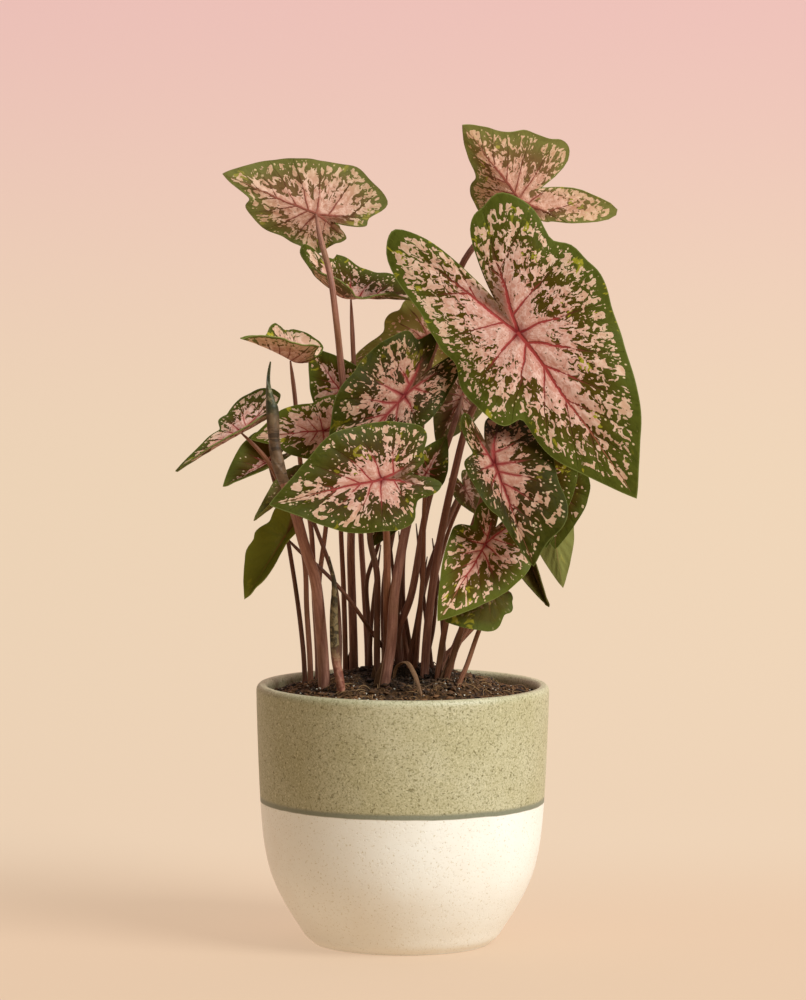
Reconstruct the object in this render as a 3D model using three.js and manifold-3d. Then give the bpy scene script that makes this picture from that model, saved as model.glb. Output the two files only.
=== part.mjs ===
// A caladium in its two-tone ceramic planter: pot, soil, leaf blades, leaf stalks,
// one furled new leaf and a short sprout. Millimetres, +Z up, front towards -Y,
// origin at the centre of the pot's flat foot.

import * as THREE from "three";
import { mergeVertices } from "three/addons/utils/BufferGeometryUtils.js";
import Module from "manifold-3d";

const wasm = await Module();
wasm.setup();

// ---------------------------------------------------------------- dimensions
const POT_HEIGHT = 146.5;
const FLOOR = 9;
const POT_SIDES = 40;
const GAP = 0.3;
const BLADE_THICKNESS = 0.9;
const SOIL_AT_WALL = 140.5;
const SOIL_AT_MIDDLE = 152;
const STALK_DEPTH = 118;
const STALK_SIDES = 6;
const STALK_STEPS = 9;
const ROOM = 0.36;
const CREASE = 0.07;
const LOBE_BEND = 0.2;

// outside of the pot, radius and height, foot to rim
const POT_OUTSIDE = [
  [50.4, 0], [54.5, 4], [59.2, 11], [64, 18.5], [68.2, 26], [71.6, 33], [74.6, 41],
  [76.8, 50], [78.6, 61], [80, 77], [81, 95], [81.9, 118], [82.5, 138], [82.3, 144.8],
  [80.8, POT_HEIGHT],
];

// inside of the pot, floor to rim
const POT_INSIDE = [
  [46, FLOOR], [60, 22], [67.5, 41], [71.5, 61], [74, 95], [76.2, 136], [76.5, 144.8],
  [78, POT_HEIGHT],
];

// ---------------------------------------------------------------- helpers
const rad = THREE.MathUtils.degToRad;

function smooth(a, b, t) {
  const k = Math.min(1, Math.max(0, (t - a) / (b - a)));
  return k * k * (3 - 2 * k);
}

function solid(positions, triangles) {
  const geometry = new THREE.BufferGeometry();
  geometry.setAttribute("position", new THREE.Float32BufferAttribute(positions, 3));
  geometry.setIndex(triangles);
  let volume = 0;
  const p = (i) => new THREE.Vector3().fromArray(positions, 3 * i);
  for (let i = 0; i < triangles.length; i += 3) {
    volume += p(triangles[i]).dot(p(triangles[i + 1]).cross(p(triangles[i + 2])));
  }
  if (volume < 0) {
    for (let i = 0; i < triangles.length; i += 3) {
      [triangles[i], triangles[i + 1]] = [triangles[i + 1], triangles[i]];
    }
    geometry.setIndex(triangles);
  }
  return geometry;
}

function toManifold(geometry) {
  const g = geometry.clone();
  g.deleteAttribute("normal");
  g.deleteAttribute("uv");
  const m = mergeVertices(g, 1e-4);
  return new wasm.Manifold(new wasm.Mesh({
    numProp: 3,
    vertProperties: new Float32Array(m.attributes.position.array),
    triVerts: new Uint32Array(m.index.array),
  }));
}

function toGeometry(manifold) {
  const mesh = manifold.getMesh();
  const g = new THREE.BufferGeometry();
  const xyz = new Float32Array((mesh.vertProperties.length / mesh.numProp) * 3);
  for (let i = 0; i < xyz.length / 3; i++) {
    for (let k = 0; k < 3; k++) xyz[3 * i + k] = mesh.vertProperties[mesh.numProp * i + k];
  }
  g.setAttribute("position", new THREE.BufferAttribute(xyz, 3));
  g.setIndex(new THREE.BufferAttribute(new Uint32Array(mesh.triVerts), 1));
  return g;
}

const plant = new THREE.Group();
plant.name = "caladium";

function add(name, geometry, colour, roughness) {
  const g = geometry.index ? geometry.toNonIndexed() : geometry;
  g.computeVertexNormals();
  const material = new THREE.MeshStandardMaterial({ color: colour, roughness, metalness: 0 });
  const mesh = new THREE.Mesh(g, material);
  mesh.name = name;
  plant.add(mesh);
}

// rings of equal count joined into a closed body, capped at both ends
function sweepRings(rings) {
  const n = rings[0].length;
  const positions = [];
  const triangles = [];
  rings.forEach((ring) => ring.forEach((q) => positions.push(q.x, q.y, q.z)));
  for (let j = 0; j + 1 < rings.length; j++) {
    for (let i = 0; i < n; i++) {
      const a = j * n + i;
      const b = j * n + ((i + 1) % n);
      triangles.push(a, b, b + n, a, b + n, a + n);
    }
  }
  [0, rings.length - 1].forEach((j) => {
    const middle = new THREE.Vector3();
    rings[j].forEach((q) => middle.add(q));
    middle.divideScalar(n);
    const c = positions.length / 3;
    positions.push(middle.x, middle.y, middle.z);
    for (let i = 0; i < n; i++) {
      const a = j * n + i;
      const b = j * n + ((i + 1) % n);
      if (j === 0) triangles.push(c, b, a);
      else triangles.push(c, a, b);
    }
  });
  return solid(positions, triangles);
}

// a round rod through the given points, its radius given at even steps
function rod(points, radii, steps, sides = STALK_SIDES, room = 0) {
  const curve = new THREE.CatmullRomCurve3(
    points.map((p) => new THREE.Vector3(...p)), false, "centripetal");
  const frames = curve.computeFrenetFrames(steps, false);
  const rings = [];
  for (let j = 0; j <= steps; j++) {
    const u = j / steps;
    const at = curve.getPointAt(u);
    if (j === 0) at.addScaledVector(frames.tangents[0], -room);
    const k = u * (radii.length - 1);
    const low = Math.min(radii.length - 2, Math.floor(k));
    const r = room + radii[low] + (radii[low + 1] - radii[low]) * (k - low);
    const ring = [];
    for (let i = 0; i < sides; i++) {
      const t = (2 * Math.PI * i) / sides;
      ring.push(at.clone()
        .addScaledVector(frames.normals[j], r * Math.cos(t))
        .addScaledVector(frames.binormals[j], r * Math.sin(t)));
    }
    rings.push(ring);
  }
  return sweepRings(rings);
}

function lathe(profile) {
  const rings = profile.map(([r, z]) => {
    const ring = [];
    for (let i = 0; i < POT_SIDES; i++) {
      const t = (2 * Math.PI * i) / POT_SIDES;
      ring.push(new THREE.Vector3(r * Math.cos(t), r * Math.sin(t), z));
    }
    return ring;
  });
  return rings;
}

// ---------------------------------------------------------------- pot
// one fired ceramic body; inside follows the outside at the wall's thickness
add("pot", sweepRings(lathe([...POT_OUTSIDE, ...[...POT_INSIDE].reverse()])), 0xb9b08c, 0.6);

// ---------------------------------------------------------------- leaf blades
// Outline of a flat blade: angle from the midrib and radius, in leaf lengths
// measured from where the stalk joins. Each half is the same.
const OUTLINE = [
  [0, 1], [7, 0.86], [15, 0.74], [30, 0.6], [50, 0.51], [75, 0.46], [100, 0.47],
  [112, 0.5], [125, 0.55], [145, 0.68], [155, 0.73], [163, 0.72], [170, 0.6], [176, 0.35], [180, 0.2],
];
const RINGS = [0.35, 0.7, 1];
const FEW_RINGS = [0.55, 1];
const LARGE_LEAF = 45;

// join: where the stalk meets the blade; tip: the far end of the midrib
// roll: turn of the blade about the line join-tip, 0 when its upper face looks to the front
// pairs below give the plus half (left of the midrib, upper face up) then the minus half:
// wide: width; ear: length of the lobes behind the stalk
// fold: each half raised from the midrib, deg; cup: further curl out to the margin, deg
// lobes: the lobes bent up behind the stalk, deg; nod: tip bent down, deg
// twist: turn along the midrib, deg; sweep: midrib curved sideways, deg
// wave: height of the margin's waves, how many, where they start
// edge: places where the margin swells or is nicked: angle, spread, share of the radius
// stalk: points from the soil up; stout: radius at the soil and at the blade
const LEAVES = [
  { // 1 the large one, front right
    join: [62, -35, 346], tip: [125, -62, 257], roll: 0, wide: [1.02, 0.88], ear: [1, 1.1],
    fold: [6, 6], cup: [-10, -10], lobes: [0, 0], nod: 12, twist: 0, sweep: 0, wave: [0.02, 5, 0],
    edge: [[22, 14, 0.07], [90, 16, 0.05], [128, 9, -0.12], [163, 6, -0.08], [-36, 8, -0.2],
      [-100, 14, -0.16], [-118, 9, -0.08], [-134, 14, -0.18], [-164, 9, 0.07]],
    stalk: [[12, -4, 148], [14, 2, 177], [19, 4, 216], [28, 6, 261], [38, 2, 300], [48, -10, 319]],
    stout: [2.6, 1.8],
  },
  { // 2 top right, seen from below
    join: [66, 30, 420], tip: [30, -25, 462], roll: 180, wide: [1, 0.66], ear: [1, 1],
    fold: [5, 20], cup: [10, 10], lobes: [0, 0], nod: 10, twist: 0, sweep: 0, wave: [0.01, 4, 0],
    edge: [[20, 12, -0.1], [88, 18, 0.16], [119, 9, -0.6], [128, 6, -0.2], [148, 7, 0.45],
      [168, 9, -0.35], [-30, 18, -0.22]],
    stalk: [[-12, -24, 146], [-8, -22, 170], [-6, -20, 199], [0, -14, 233], [6, -8, 257],
      [9, 0, 290], [14, 4, 327], [21, 6, 346], [33, 4, 384], [52, 12, 407]],
    stout: [3.2, 1.6],
  },
  { // 3 top left, seen from below
    join: [-50, 4, 411], tip: [-103, -14, 434], roll: 180, wide: [1.1, 0.9], ear: [1, 0.6],
    fold: [8, 8], cup: [10, 10], lobes: [0, 0], nod: 10, twist: 0, sweep: 0, wave: [0.03, 5, 0],
    edge: [[113, 16, 0.12], [164, 8, -0.28], [-10, 6, -0.17], [-61, 15, -0.14], [-90, 20, -0.2],
      [-150, 25, -0.15]],
    stalk: [[-26, 38, 157], [-28, 34, 215], [-29, 8, 244], [-31, -18, 276], [-36, -16, 325],
      [-40, -35, 355], [-43, -35, 377], [-48, -18, 398]],
    stout: [2.6, 1.6],
  },
  { // 4 below it, seen almost edge-on
    join: [-30, 0, 364], tip: [24, 20, 362], roll: -72, wide: [1, 0.6], ear: [1, 0.95],
    fold: [25, 25], cup: [5, 5], lobes: [37, 37], nod: 5, twist: 0, sweep: 0, wave: [0.03, 5, 0],
    edge: [[95, 22, 0.15]],
    stalk: [[-18, 40, 158], [-20, 42, 196], [-22, 42, 227], [-24, 36, 276], [-28, 12, 330]],
    stout: [1.8, 1.3],
  },
  { // 5 small, left, edge-on
    join: [-64, -12, 330], tip: [-94, -38, 344], roll: 80, wide: [1, 1.1], ear: [0.5, 0.88],
    fold: [48, 30], cup: [5, 5], lobes: [30, 30], nod: 10, twist: 0, sweep: 0, wave: [0.03, 5, 0],
    edge: [[-25, 18, -0.22]],
    stalk: [[-47, 28, 157], [-49, 28, 191], [-51, 26, 231], [-57, 20, 266], [-61, 8, 307]],
    stout: [1.7, 1.2],
  },
  { // 6 far left, narrow and folded
    join: [-92, -12, 290], tip: [-133, -38, 267], roll: 35, wide: [0.9, 0.75], ear: [0.6, 0.98],
    fold: [60, 15], cup: [5, 5], lobes: [0, 0], nod: 10, twist: 0, sweep: 0, wave: [0.02, 4, 0],
    edge: [[-14, 14, -0.25], [-42, 22, -0.5], [-85, 26, -0.32]],
    stalk: [[-52, 6, 154], [-54, 8, 187], [-56, 6, 219], [-66, 0, 250], [-76, -12, 272],
      [-84, -16, 282]],
    stout: [1.7, 1.2],
  },
  { // 7 small olive one behind the furled leaf
    join: [-76, 4, 272], tip: [-102, -10, 259], roll: 10, wide: [0.55, 1.2], ear: [0.8, 0.8],
    fold: [60, 0], cup: [5, 5], lobes: [0, 0], nod: 10, twist: 0, sweep: 0, wave: [0.02, 4, 0],
    edge: [],
    stalk: [[-55, 15, 153], [-57, 15, 176], [-62, 13, 211], [-69, 10, 248]],
    stout: [1.5, 1.1],
  },
  { // 8 right of the furled leaf
    join: [-45, -2, 290], tip: [-87, -3, 285], roll: 15, wide: [0.9, 1], ear: [1, 1],
    fold: [6, 6], cup: [5, 5], lobes: [0, 0], nod: 10, twist: 0, sweep: 0, wave: [0.02, 4, 0],
    edge: [[14, 10, -0.12], [-28, 14, 0.08], [-72, 20, -0.15]],
    stalk: [[-44, 18, 156], [-47, 20, 195], [-43, 18, 234], [-41, 14, 261]],
    stout: [1.6, 1.2],
  },
  { // 9 left, behind the dark leaf
    join: [-35, 18, 311], tip: [-53, 10, 336], roll: 0, wide: [1.2, 1.2], ear: [1, 1],
    fold: [10, 10], cup: [5, 5], lobes: [0, 0], nod: 10, twist: 0, sweep: 0, wave: [0.02, 4, 0],
    edge: [],
    stalk: [[-31, 33, 156], [-32, 34, 194], [-34, 36, 240], [-34, 32, 286]],
    stout: [1.6, 1.2],
  },
  { // 10 dark leaf in the middle
    join: [-2, -30, 311], tip: [-48, -44, 263], roll: 0, wide: [0.62, 0.98], ear: [0.85, 0.85],
    fold: [10, 10], cup: [-10, -10], lobes: [0, 0], nod: 15, twist: 0, sweep: 0, wave: [0.02, 5, 0],
    edge: [[-45, 22, 0.12], [-152, 8, -0.2]],
    stalk: [[-15, -8, 146], [-15, -6, 183], [-15, -4, 209], [-19, -2, 234], [-7, -8, 268]],
    stout: [2, 1.5],
  },
  { // 11 low front leaf
    join: [-16, -66, 267], tip: [-78, -84, 255], roll: 10, wide: [0.95, 1.05], ear: [0.8, 0.88],
    fold: [6, 6], cup: [-10, -10], lobes: [0, 0], nod: 12, twist: 0, sweep: 0, wave: [0.02, 5, 0],
    edge: [[35, 20, 0.07], [140, 18, -0.3], [-48, 22, 0.11], [-163, 11, -0.3]],
    stalk: [[-10, 6, 153], [-9, 4, 165], [-10, -16, 199], [-11, -30, 231], [-14, -50, 255]],
    stout: [2.6, 1.8],
  },
  { // 12 back, lit through, behind the dark leaf
    join: [15, 28, 342], tip: [-32, 18, 326], roll: 170, wide: [1, 1], ear: [0.8, 1],
    fold: [10, 10], cup: [5, 5], lobes: [0, 0], nod: 10, twist: 0, sweep: 0, wave: [0.04, 6, 0],
    edge: [[20, 15, -0.24], [60, 9, -0.1]],
    stalk: [[4, 22, 152], [2, 24, 174], [1, 24, 214], [7, 26, 260], [11, 26, 305]],
    stout: [1.8, 1.3],
  },
  { // 13 small, middle, seen from below
    join: [34, 18, 308], tip: [19, 8, 281], roll: 180, wide: [1, 1], ear: [1, 1],
    fold: [10, 10], cup: [5, 5], lobes: [0, 0], nod: 10, twist: 0, sweep: 0, wave: [0.02, 4, 0],
    edge: [],
    stalk: [[-1, 18, 153], [-2, 16, 173], [5, 8, 196], [14, 0, 250], [27, 2, 289]],
    stout: [2.6, 1.5],
  },
  { // 14 right of the middle, under the large leaf
    join: [47, -50, 275], tip: [68, -66, 220], roll: 0, wide: [1.2, 0.64], ear: [0.85, 0.8],
    fold: [-9, 30], cup: [0, 0], lobes: [-20, 42], nod: 30, twist: 0, sweep: 0, wave: [0.02, 5, 0],
    edge: [[28, 16, 0.3], [-24, 12, -0.12], [-125, 15, -0.35]],
    stalk: [[19, -10, 148], [24, -10, 184], [32, -16, 218], [41, -27, 250]],
    stout: [2, 1.4],
  },
  { // 15 behind it, inner of two
    join: [76, -12, 271], tip: [79, -20, 225], roll: 0, wide: [1, 1], ear: [0.8, 0.8],
    fold: [8, 8], cup: [0, 0], lobes: [0, 0], nod: 10, twist: 0, sweep: 0, wave: [0.02, 4, 0],
    edge: [],
    stalk: [[28, 22, 155], [35, 20, 177], [50, 14, 207], [64, 6, 239]],
    stout: [1.8, 1.3],
  },
  { // 16 behind it, outer of two
    join: [87, 12, 256], tip: [86, 4, 222], roll: 0, wide: [1.2, 1.1], ear: [0.8, 0.8],
    fold: [8, 8], cup: [0, 0], lobes: [0, 0], nod: 10, twist: 0, sweep: 0, wave: [0.02, 4, 0],
    edge: [],
    stalk: [[30, 32, 155], [38, 32, 174], [57, 30, 203], [73, 24, 232]],
    stout: [1.6, 1.2],
  },
  { // 17 lit through, hanging behind
    join: [86, 26, 235], tip: [92, 18, 199], roll: 180, wide: [0.75, 0.75], ear: [1, 1],
    fold: [12, 12], cup: [0, 0], lobes: [0, 0], nod: 5, twist: 0, sweep: 0, wave: [0.02, 4, 0],
    edge: [],
    stalk: [[23, 38, 153], [36, 41, 167], [57, 40, 190], [74, 38, 214]],
    stout: [1.5, 1.1],
  },
  { // 18 narrow, hanging, folded
    join: [69, -24, 220], tip: [80, -30, 193], roll: 20, wide: [0.9, 0.9], ear: [0.8, 0.8],
    fold: [60, 60], cup: [0, 0], lobes: [0, 0], nod: 5, twist: 0, sweep: 0, wave: [0.01, 4, 0],
    edge: [],
    stalk: [[21, 4, 150], [28, 8, 165], [43, 4, 187], [57, -6, 206]],
    stout: [1.4, 1],
  },
  { // 19 low right leaf
    join: [43, -42, 229], tip: [16, -56, 188], roll: 0, wide: [1.18, 0.87], ear: [0.9, 0.75],
    fold: [6, 6], cup: [-10, -10], lobes: [0, 0], nod: 15, twist: 0, sweep: 0, wave: [0.02, 5, 0],
    edge: [[-112, 15, -0.4]],
    stalk: [[23, -12, 146], [28, -14, 165], [35, -16, 190], [40, -24, 212]],
    stout: [2, 1.4],
  },
  { // 20 under the low right leaf
    join: [48, -28, 200], tip: [21, -38, 186], roll: 0, wide: [1.5, 0.35], ear: [0.5, 0.8],
    fold: [6, 6], cup: [0, 0], lobes: [0, 0], nod: 15, twist: 0, sweep: 0, wave: [0.02, 4, 0],
    edge: [[95, 30, -0.4]],
    stalk: [[29, -26, 145], [35, -24, 161], [41, -22, 178], [46, -22, 190]],
    stout: [1.6, 1.2],
  },
  { // 21 hanging and twisted, low left
    join: [-67, -10, 231], tip: [-90, -24, 197], roll: 0, wide: [0.45, 1], ear: [0.6, 0.8],
    fold: [62, 0], cup: [0, 0], lobes: [20, 20], nod: 5, twist: 0, sweep: 0, wave: [0.02, 4, 0],
    edge: [[28, 14, 0.2], [75, 30, -0.4], [-50, 10, -0.12], [-100, 35, -0.4]],
    stalk: [[-6, 16, 156], [-10, 10, 165], [-17, 2, 175], [-33, -10, 198], [-48, -13, 214], [-58, -12, 222]],
    stout: [1.4, 1],
  },
  { // 22 narrow, left, under the front leaf
    join: [-59, -9.5, 258], tip: [-85, -23.5, 241], roll: 60, wide: [0.8, 0.8], ear: [0.8, 0.8],
    fold: [50, 50], cup: [0, 0], lobes: [0, 0], nod: 5, twist: 0, sweep: 0, wave: [0.01, 4, 0],
    edge: [],
    stalk: [[-37, -20, 149], [-36, -4, 177], [-39, 0, 205], [-49, 2, 234]],
    stout: [1.5, 1.1],
  },
  { // 23 dark, between the middle and front leaves
    join: [11, -26, 268], tip: [23, -18, 288], roll: 0, wide: [1, 1], ear: [0.8, 0.8],
    fold: [10, 10], cup: [0, 0], lobes: [0, 0], nod: 5, twist: 0, sweep: 0, wave: [0.02, 4, 0],
    edge: [],
    stalk: [[7, 6, 149], [8, 6, 171], [11, 2, 205], [11, -8, 240]],
    stout: [1.6, 1.2],
  },
  { // 24 low, behind the front leaf
    join: [-9, 14, 245], tip: [-18, 8, 223], roll: 0, wide: [1.2, 1.2], ear: [1, 1],
    fold: [6, 6], cup: [0, 0], lobes: [0, 0], nod: 5, twist: 0, sweep: 0, wave: [0.02, 4, 0],
    edge: [],
    stalk: [[-17, 28, 156], [-18, 30, 180], [-19, 30, 202], [-13, 28, 222]],
    stout: [1.5, 1.1],
  },
  { // 25 low, behind the right stalks
    join: [37, 26, 254], tip: [44, 20, 240], roll: 180, wide: [1, 1], ear: [1, 1],
    fold: [6, 6], cup: [0, 0], lobes: [0, 0], nod: 5, twist: 0, sweep: 0, wave: [0.02, 4, 0],
    edge: [],
    stalk: [[14, 38, 153], [16, 40, 167], [18, 38, 190], [27, 34, 228]],
    stout: [1.5, 1.1],
  },
  { // 26 at the back, high
    join: [22, 62, 330], tip: [24, 112, 312], roll: 0, wide: [0.9, 0.9], ear: [0.8, 0.8],
    fold: [10, 10], cup: [-10, -10], lobes: [0, 0], nod: 20, twist: 0, sweep: 0, wave: [0.03, 5, 0],
    edge: [],
    stalk: [[-8, 42, 152], [-8, 46, 200], [4, 52, 260], [18, 60, 305]],
    stout: [2, 1.4],
  },
  { // 27 at the back, low
    join: [80, 50, 325], tip: [92, 102, 305], roll: 0, wide: [0.9, 0.9], ear: [0.6, 0.6],
    fold: [10, 10], cup: [-10, -10], lobes: [0, 0], nod: 20, twist: 0, sweep: 0, wave: [0.03, 5, 0],
    edge: [],
    stalk: [[10, 48, 152], [16, 54, 200], [42, 58, 262], [70, 54, 308]],
    stout: [1.9, 1.3],
  },
];

// a point of the blade's middle surface in leaf lengths; x along the midrib, y to the plus side
function sheet(leaf, x, y) {
  const half = y >= 0 ? 0 : 1;
  const out = Math.abs(y) * leaf.wide[half];
  const curl = (rad(leaf.cup[half]) * out) / 0.45;
  const lean = rad(leaf.fold[half]) * smooth(0, CREASE, out) + curl / 2;
  const chord = Math.abs(curl) < 1e-4 ? out : (out * Math.sin(curl / 2)) / (curl / 2);
  let side = (half === 0 ? 1 : -1) * chord * Math.cos(lean);
  let up = chord * Math.sin(lean);
  const r = Math.hypot(x, y);
  const a = Math.atan2(y, x);
  const [height, count, start] = leaf.wave;
  const reach = r / outlineRadius(leaf, THREE.MathUtils.radToDeg(a));
  const calm = 1 - smooth(rad(140), rad(168), Math.abs(a));
  up += height * Math.sin(count * a + start) * calm * Math.min(1.1, reach) ** 3;
  if (x > 0) {
    const t = rad(leaf.twist) * x;
    [side, up] = [side * Math.cos(t) - up * Math.sin(t), side * Math.sin(t) + up * Math.cos(t)];
    side += 0.5 * Math.tan(rad(leaf.sweep)) * x * x;
  }
  const share = smooth(-0.15, 0.15, y);
  const lobe = leaf.lobes[0] * share + leaf.lobes[1] * (1 - share);
  const [along, rise, turn] = x > 0
    ? bent(x, -rad(leaf.nod), 1)
    : bent(-x, rad(lobe), LOBE_BEND);
  const back = x > 0 ? 1 : -1;
  return new THREE.Vector3(
    back * (along - up * Math.sin(turn)), side, rise + up * Math.cos(turn));
}

// a strip laid along x, turned upwards by an angle over its first stretch, then straight
function bent(x, angle, stretch) {
  const arc = Math.min(x, stretch);
  const turn = (angle * arc) / stretch;
  const chord = Math.abs(turn) < 1e-4 ? arc : (arc * Math.sin(turn / 2)) / (turn / 2);
  const rest = x - arc;
  return [
    chord * Math.cos(turn / 2) + rest * Math.cos(turn),
    chord * Math.sin(turn / 2) + rest * Math.sin(turn),
    turn,
  ];
}

function outlineRadius(leaf, degrees) {
  const half = degrees >= 0 ? 0 : 1;
  const a = Math.abs(degrees);
  let i = 1;
  while (i < OUTLINE.length - 1 && a > OUTLINE[i][0]) i++;
  const [a0, r0] = OUTLINE[i - 1];
  const [a1, r1] = OUTLINE[i];
  const r = r0 + ((r1 - r0) * (a - a0)) / (a1 - a0);
  let factor = 1 + (leaf.ear[half] - 1) * smooth(95, 150, a) * (1 - smooth(172, 180, a));
  leaf.edge.forEach(([at, spread, amount]) => {
    factor *= 1 + amount * Math.exp(-(((degrees - at) / spread) ** 2));
  });
  return r * factor;
}

// places blade points in the world: the midrib's ends land on join and tip
function placing(leaf) {
  const join = new THREE.Vector3(...leaf.join);
  const line = new THREE.Vector3(...leaf.tip).sub(join);
  const length = line.length();
  const X = line.clone().normalize();
  const front = new THREE.Vector3(0, -1, 0);
  const N = front.addScaledVector(X, -front.dot(X)).normalize();
  N.applyAxisAngle(X, rad(leaf.roll));
  const Y = N.clone().cross(X);
  const end = sheet(leaf, 1, 0);
  const ex = end.clone().normalize();
  const ez = new THREE.Vector3(0, 0, 1);
  ez.addScaledVector(ex, -ez.dot(ex)).normalize();
  const ey = ez.clone().cross(ex);
  const scale = length / end.length();
  return (p) => join.clone()
    .addScaledVector(X, scale * p.dot(ex))
    .addScaledVector(Y, scale * p.dot(ey))
    .addScaledVector(N, scale * p.dot(ez));
}

function blade(leaf, thickness) {
  const place = placing(leaf);
  const step = 0.01;
  const faces = (x, y) => {
    const at = place(sheet(leaf, x, y));
    const dx = place(sheet(leaf, x + step, y)).sub(place(sheet(leaf, x - step, y)));
    const dy = place(sheet(leaf, x, y + step)).sub(place(sheet(leaf, x, y - step)));
    const n = dx.cross(dy).normalize().multiplyScalar(thickness / 2);
    return [at.clone().add(n), at.clone().sub(n)];
  };
  const angles = [];
  OUTLINE.forEach(([a]) => angles.push(a));
  OUTLINE.slice(1, -1).reverse().forEach(([a]) => angles.push(-a));
  const n = angles.length;
  const length = new THREE.Vector3(...leaf.join).distanceTo(new THREE.Vector3(...leaf.tip));
  const shares = length > LARGE_LEAF ? RINGS : FEW_RINGS;
  const positions = [];
  const triangles = [];
  const layers = [[], []];
  layers[0].push(faces(0, 0)[0]);
  layers[1].push(faces(0, 0)[1]);
  shares.forEach((s) => {
    angles.forEach((a) => {
      const r = s * outlineRadius(leaf, a);
      const pair = faces(r * Math.cos(rad(a)), r * Math.sin(rad(a)));
      layers[0].push(pair[0]);
      layers[1].push(pair[1]);
    });
  });
  layers.forEach((layer) => layer.forEach((q) => positions.push(q.x, q.y, q.z)));
  const size = layers[0].length;
  for (let i = 0; i < n; i++) {
    const k = (i + 1) % n;
    triangles.push(0, 1 + i, 1 + k, size, size + 1 + k, size + 1 + i);
    for (let j = 0; j + 1 < shares.length; j++) {
      const a = 1 + j * n + i;
      const b = 1 + j * n + k;
      triangles.push(a, a + n, b + n, a, b + n, b);
      triangles.push(size + a, size + b + n, size + a + n, size + a, size + b, size + b + n);
    }
    const a = 1 + (shares.length - 1) * n + i;
    const b = 1 + (shares.length - 1) * n + k;
    triangles.push(a, size + a, size + b, a, size + b, b);
  }
  return solid(positions, triangles);
}

// ---------------------------------------------------------------- leaf stalks
// a stalk runs from inside the soil to just under its blade, where the blade trims it
function stalkPoints(leaf) {
  const [x, y] = leaf.stalk[0];
  return [[x, y, STALK_DEPTH], ...leaf.stalk, leaf.join];
}

function longest(manifold) {
  const parts = manifold.decompose();
  parts.sort((a, b) => b.volume() - a.volume());
  return parts[0];
}

function stalk(leaf) {
  const whole = toManifold(rod(stalkPoints(leaf), leaf.stout, STALK_STEPS));
  const room = toManifold(blade(leaf, BLADE_THICKNESS + 4 * GAP));
  return toGeometry(longest(whole.subtract(room)));
}

const soilRoom = [];
LEAVES.forEach((leaf, i) => {
  const name = `leaf_${String(i + 1).padStart(2, "0")}`;
  add(`${name}_blade`, blade(leaf, BLADE_THICKNESS), 0x5d6b34, 0.55);
  add(`${name}_stalk`, stalk(leaf), 0x7c5646, 0.6);
  soilRoom.push(rod(stalkPoints(leaf), leaf.stout, STALK_STEPS, STALK_SIDES, ROOM));
});

// ---------------------------------------------------------------- furled leaf and sprout
// a new leaf still rolled into a spike, on a thick stalk of its own
const SPIKE = [[-68, -28, 262], [-71, -30, 272], [-74, -30, 287], [-75, -30, 302],
  [-77, -30, 319], [-76, -30, 330]];
const SPIKE_STALK = [[-45, -12, STALK_DEPTH], [-45, -12, 150], [-47, -16, 179], [-51, -24, 210],
  [-57, -30, 228], [-62, -31, 246], [-67.2, -28.6, 260.4]];
add("furled_leaf", rod(SPIKE, [3.6, 3.7, 3.2, 3.6, 3.4, 1.1, 0.4], 9, 8), 0x8a8560, 0.6);
add("furled_leaf_stalk", rod(SPIKE_STALK, [3.4, 3.2, 3], STALK_STEPS), 0x8f6a58, 0.6);
soilRoom.push(rod(SPIKE_STALK, [3.4, 3.2, 3], STALK_STEPS, STALK_SIDES, ROOM));

// a short new shoot, its pointed sheath coming straight from the soil
const SPROUT = [[-36, -28, STALK_DEPTH], [-36, -28, 147], [-39, -27, 165], [-40, -26, 185],
  [-40, -25, 205], [-43, -25, 221]];
add("sprout", rod(SPROUT, [3, 2.6, 2.6, 2, 0.5], STALK_STEPS), 0x7d7350, 0.6);
soilRoom.push(rod(SPROUT, [3, 2.6, 2.6, 2, 0.5], STALK_STEPS, STALK_SIDES, ROOM));

// ---------------------------------------------------------------- soil
// a low mound of potting mix that fills the pot, with a plain hole round each stalk
function soilTop(r, t) {
  const mound = 1 - smooth(20, POT_INSIDE.at(-2)[0], r);
  const lumps = 0.9 * Math.sin(3 * t + r / 9) + 0.7 * Math.sin(7 * t - r / 6);
  const height = SOIL_AT_WALL + (SOIL_AT_MIDDLE - SOIL_AT_WALL) * mound;
  return height + lumps * smooth(0, 20, r) + 3 * mound * Math.sin(t);
}

function soil() {
  const rings = lathe(POT_INSIDE.slice(0, -2).map(([r, z]) => [r - GAP * 1.05, z + GAP]));
  [76, 66, 54, 40, 26, 12].forEach((r) => {
    const ring = [];
    for (let i = 0; i < POT_SIDES; i++) {
      const t = (2 * Math.PI * i) / POT_SIDES;
      ring.push(new THREE.Vector3(r * Math.cos(t), r * Math.sin(t), soilTop(r, t)));
    }
    rings.push(ring);
  });
  let body = toManifold(sweepRings(rings));
  soilRoom.forEach((g) => {
    body = body.subtract(toManifold(g));
  });
  return toGeometry(longest(body));
}
add("soil", soil(), 0x3d2c1b, 0.95);

export default plant;
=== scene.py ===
import random
from collections import namedtuple
from math import atan2, cos, degrees, exp, hypot, pi, radians, sin, sqrt

import bmesh
import bpy
from mathutils import Matrix, Vector, noise


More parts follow.
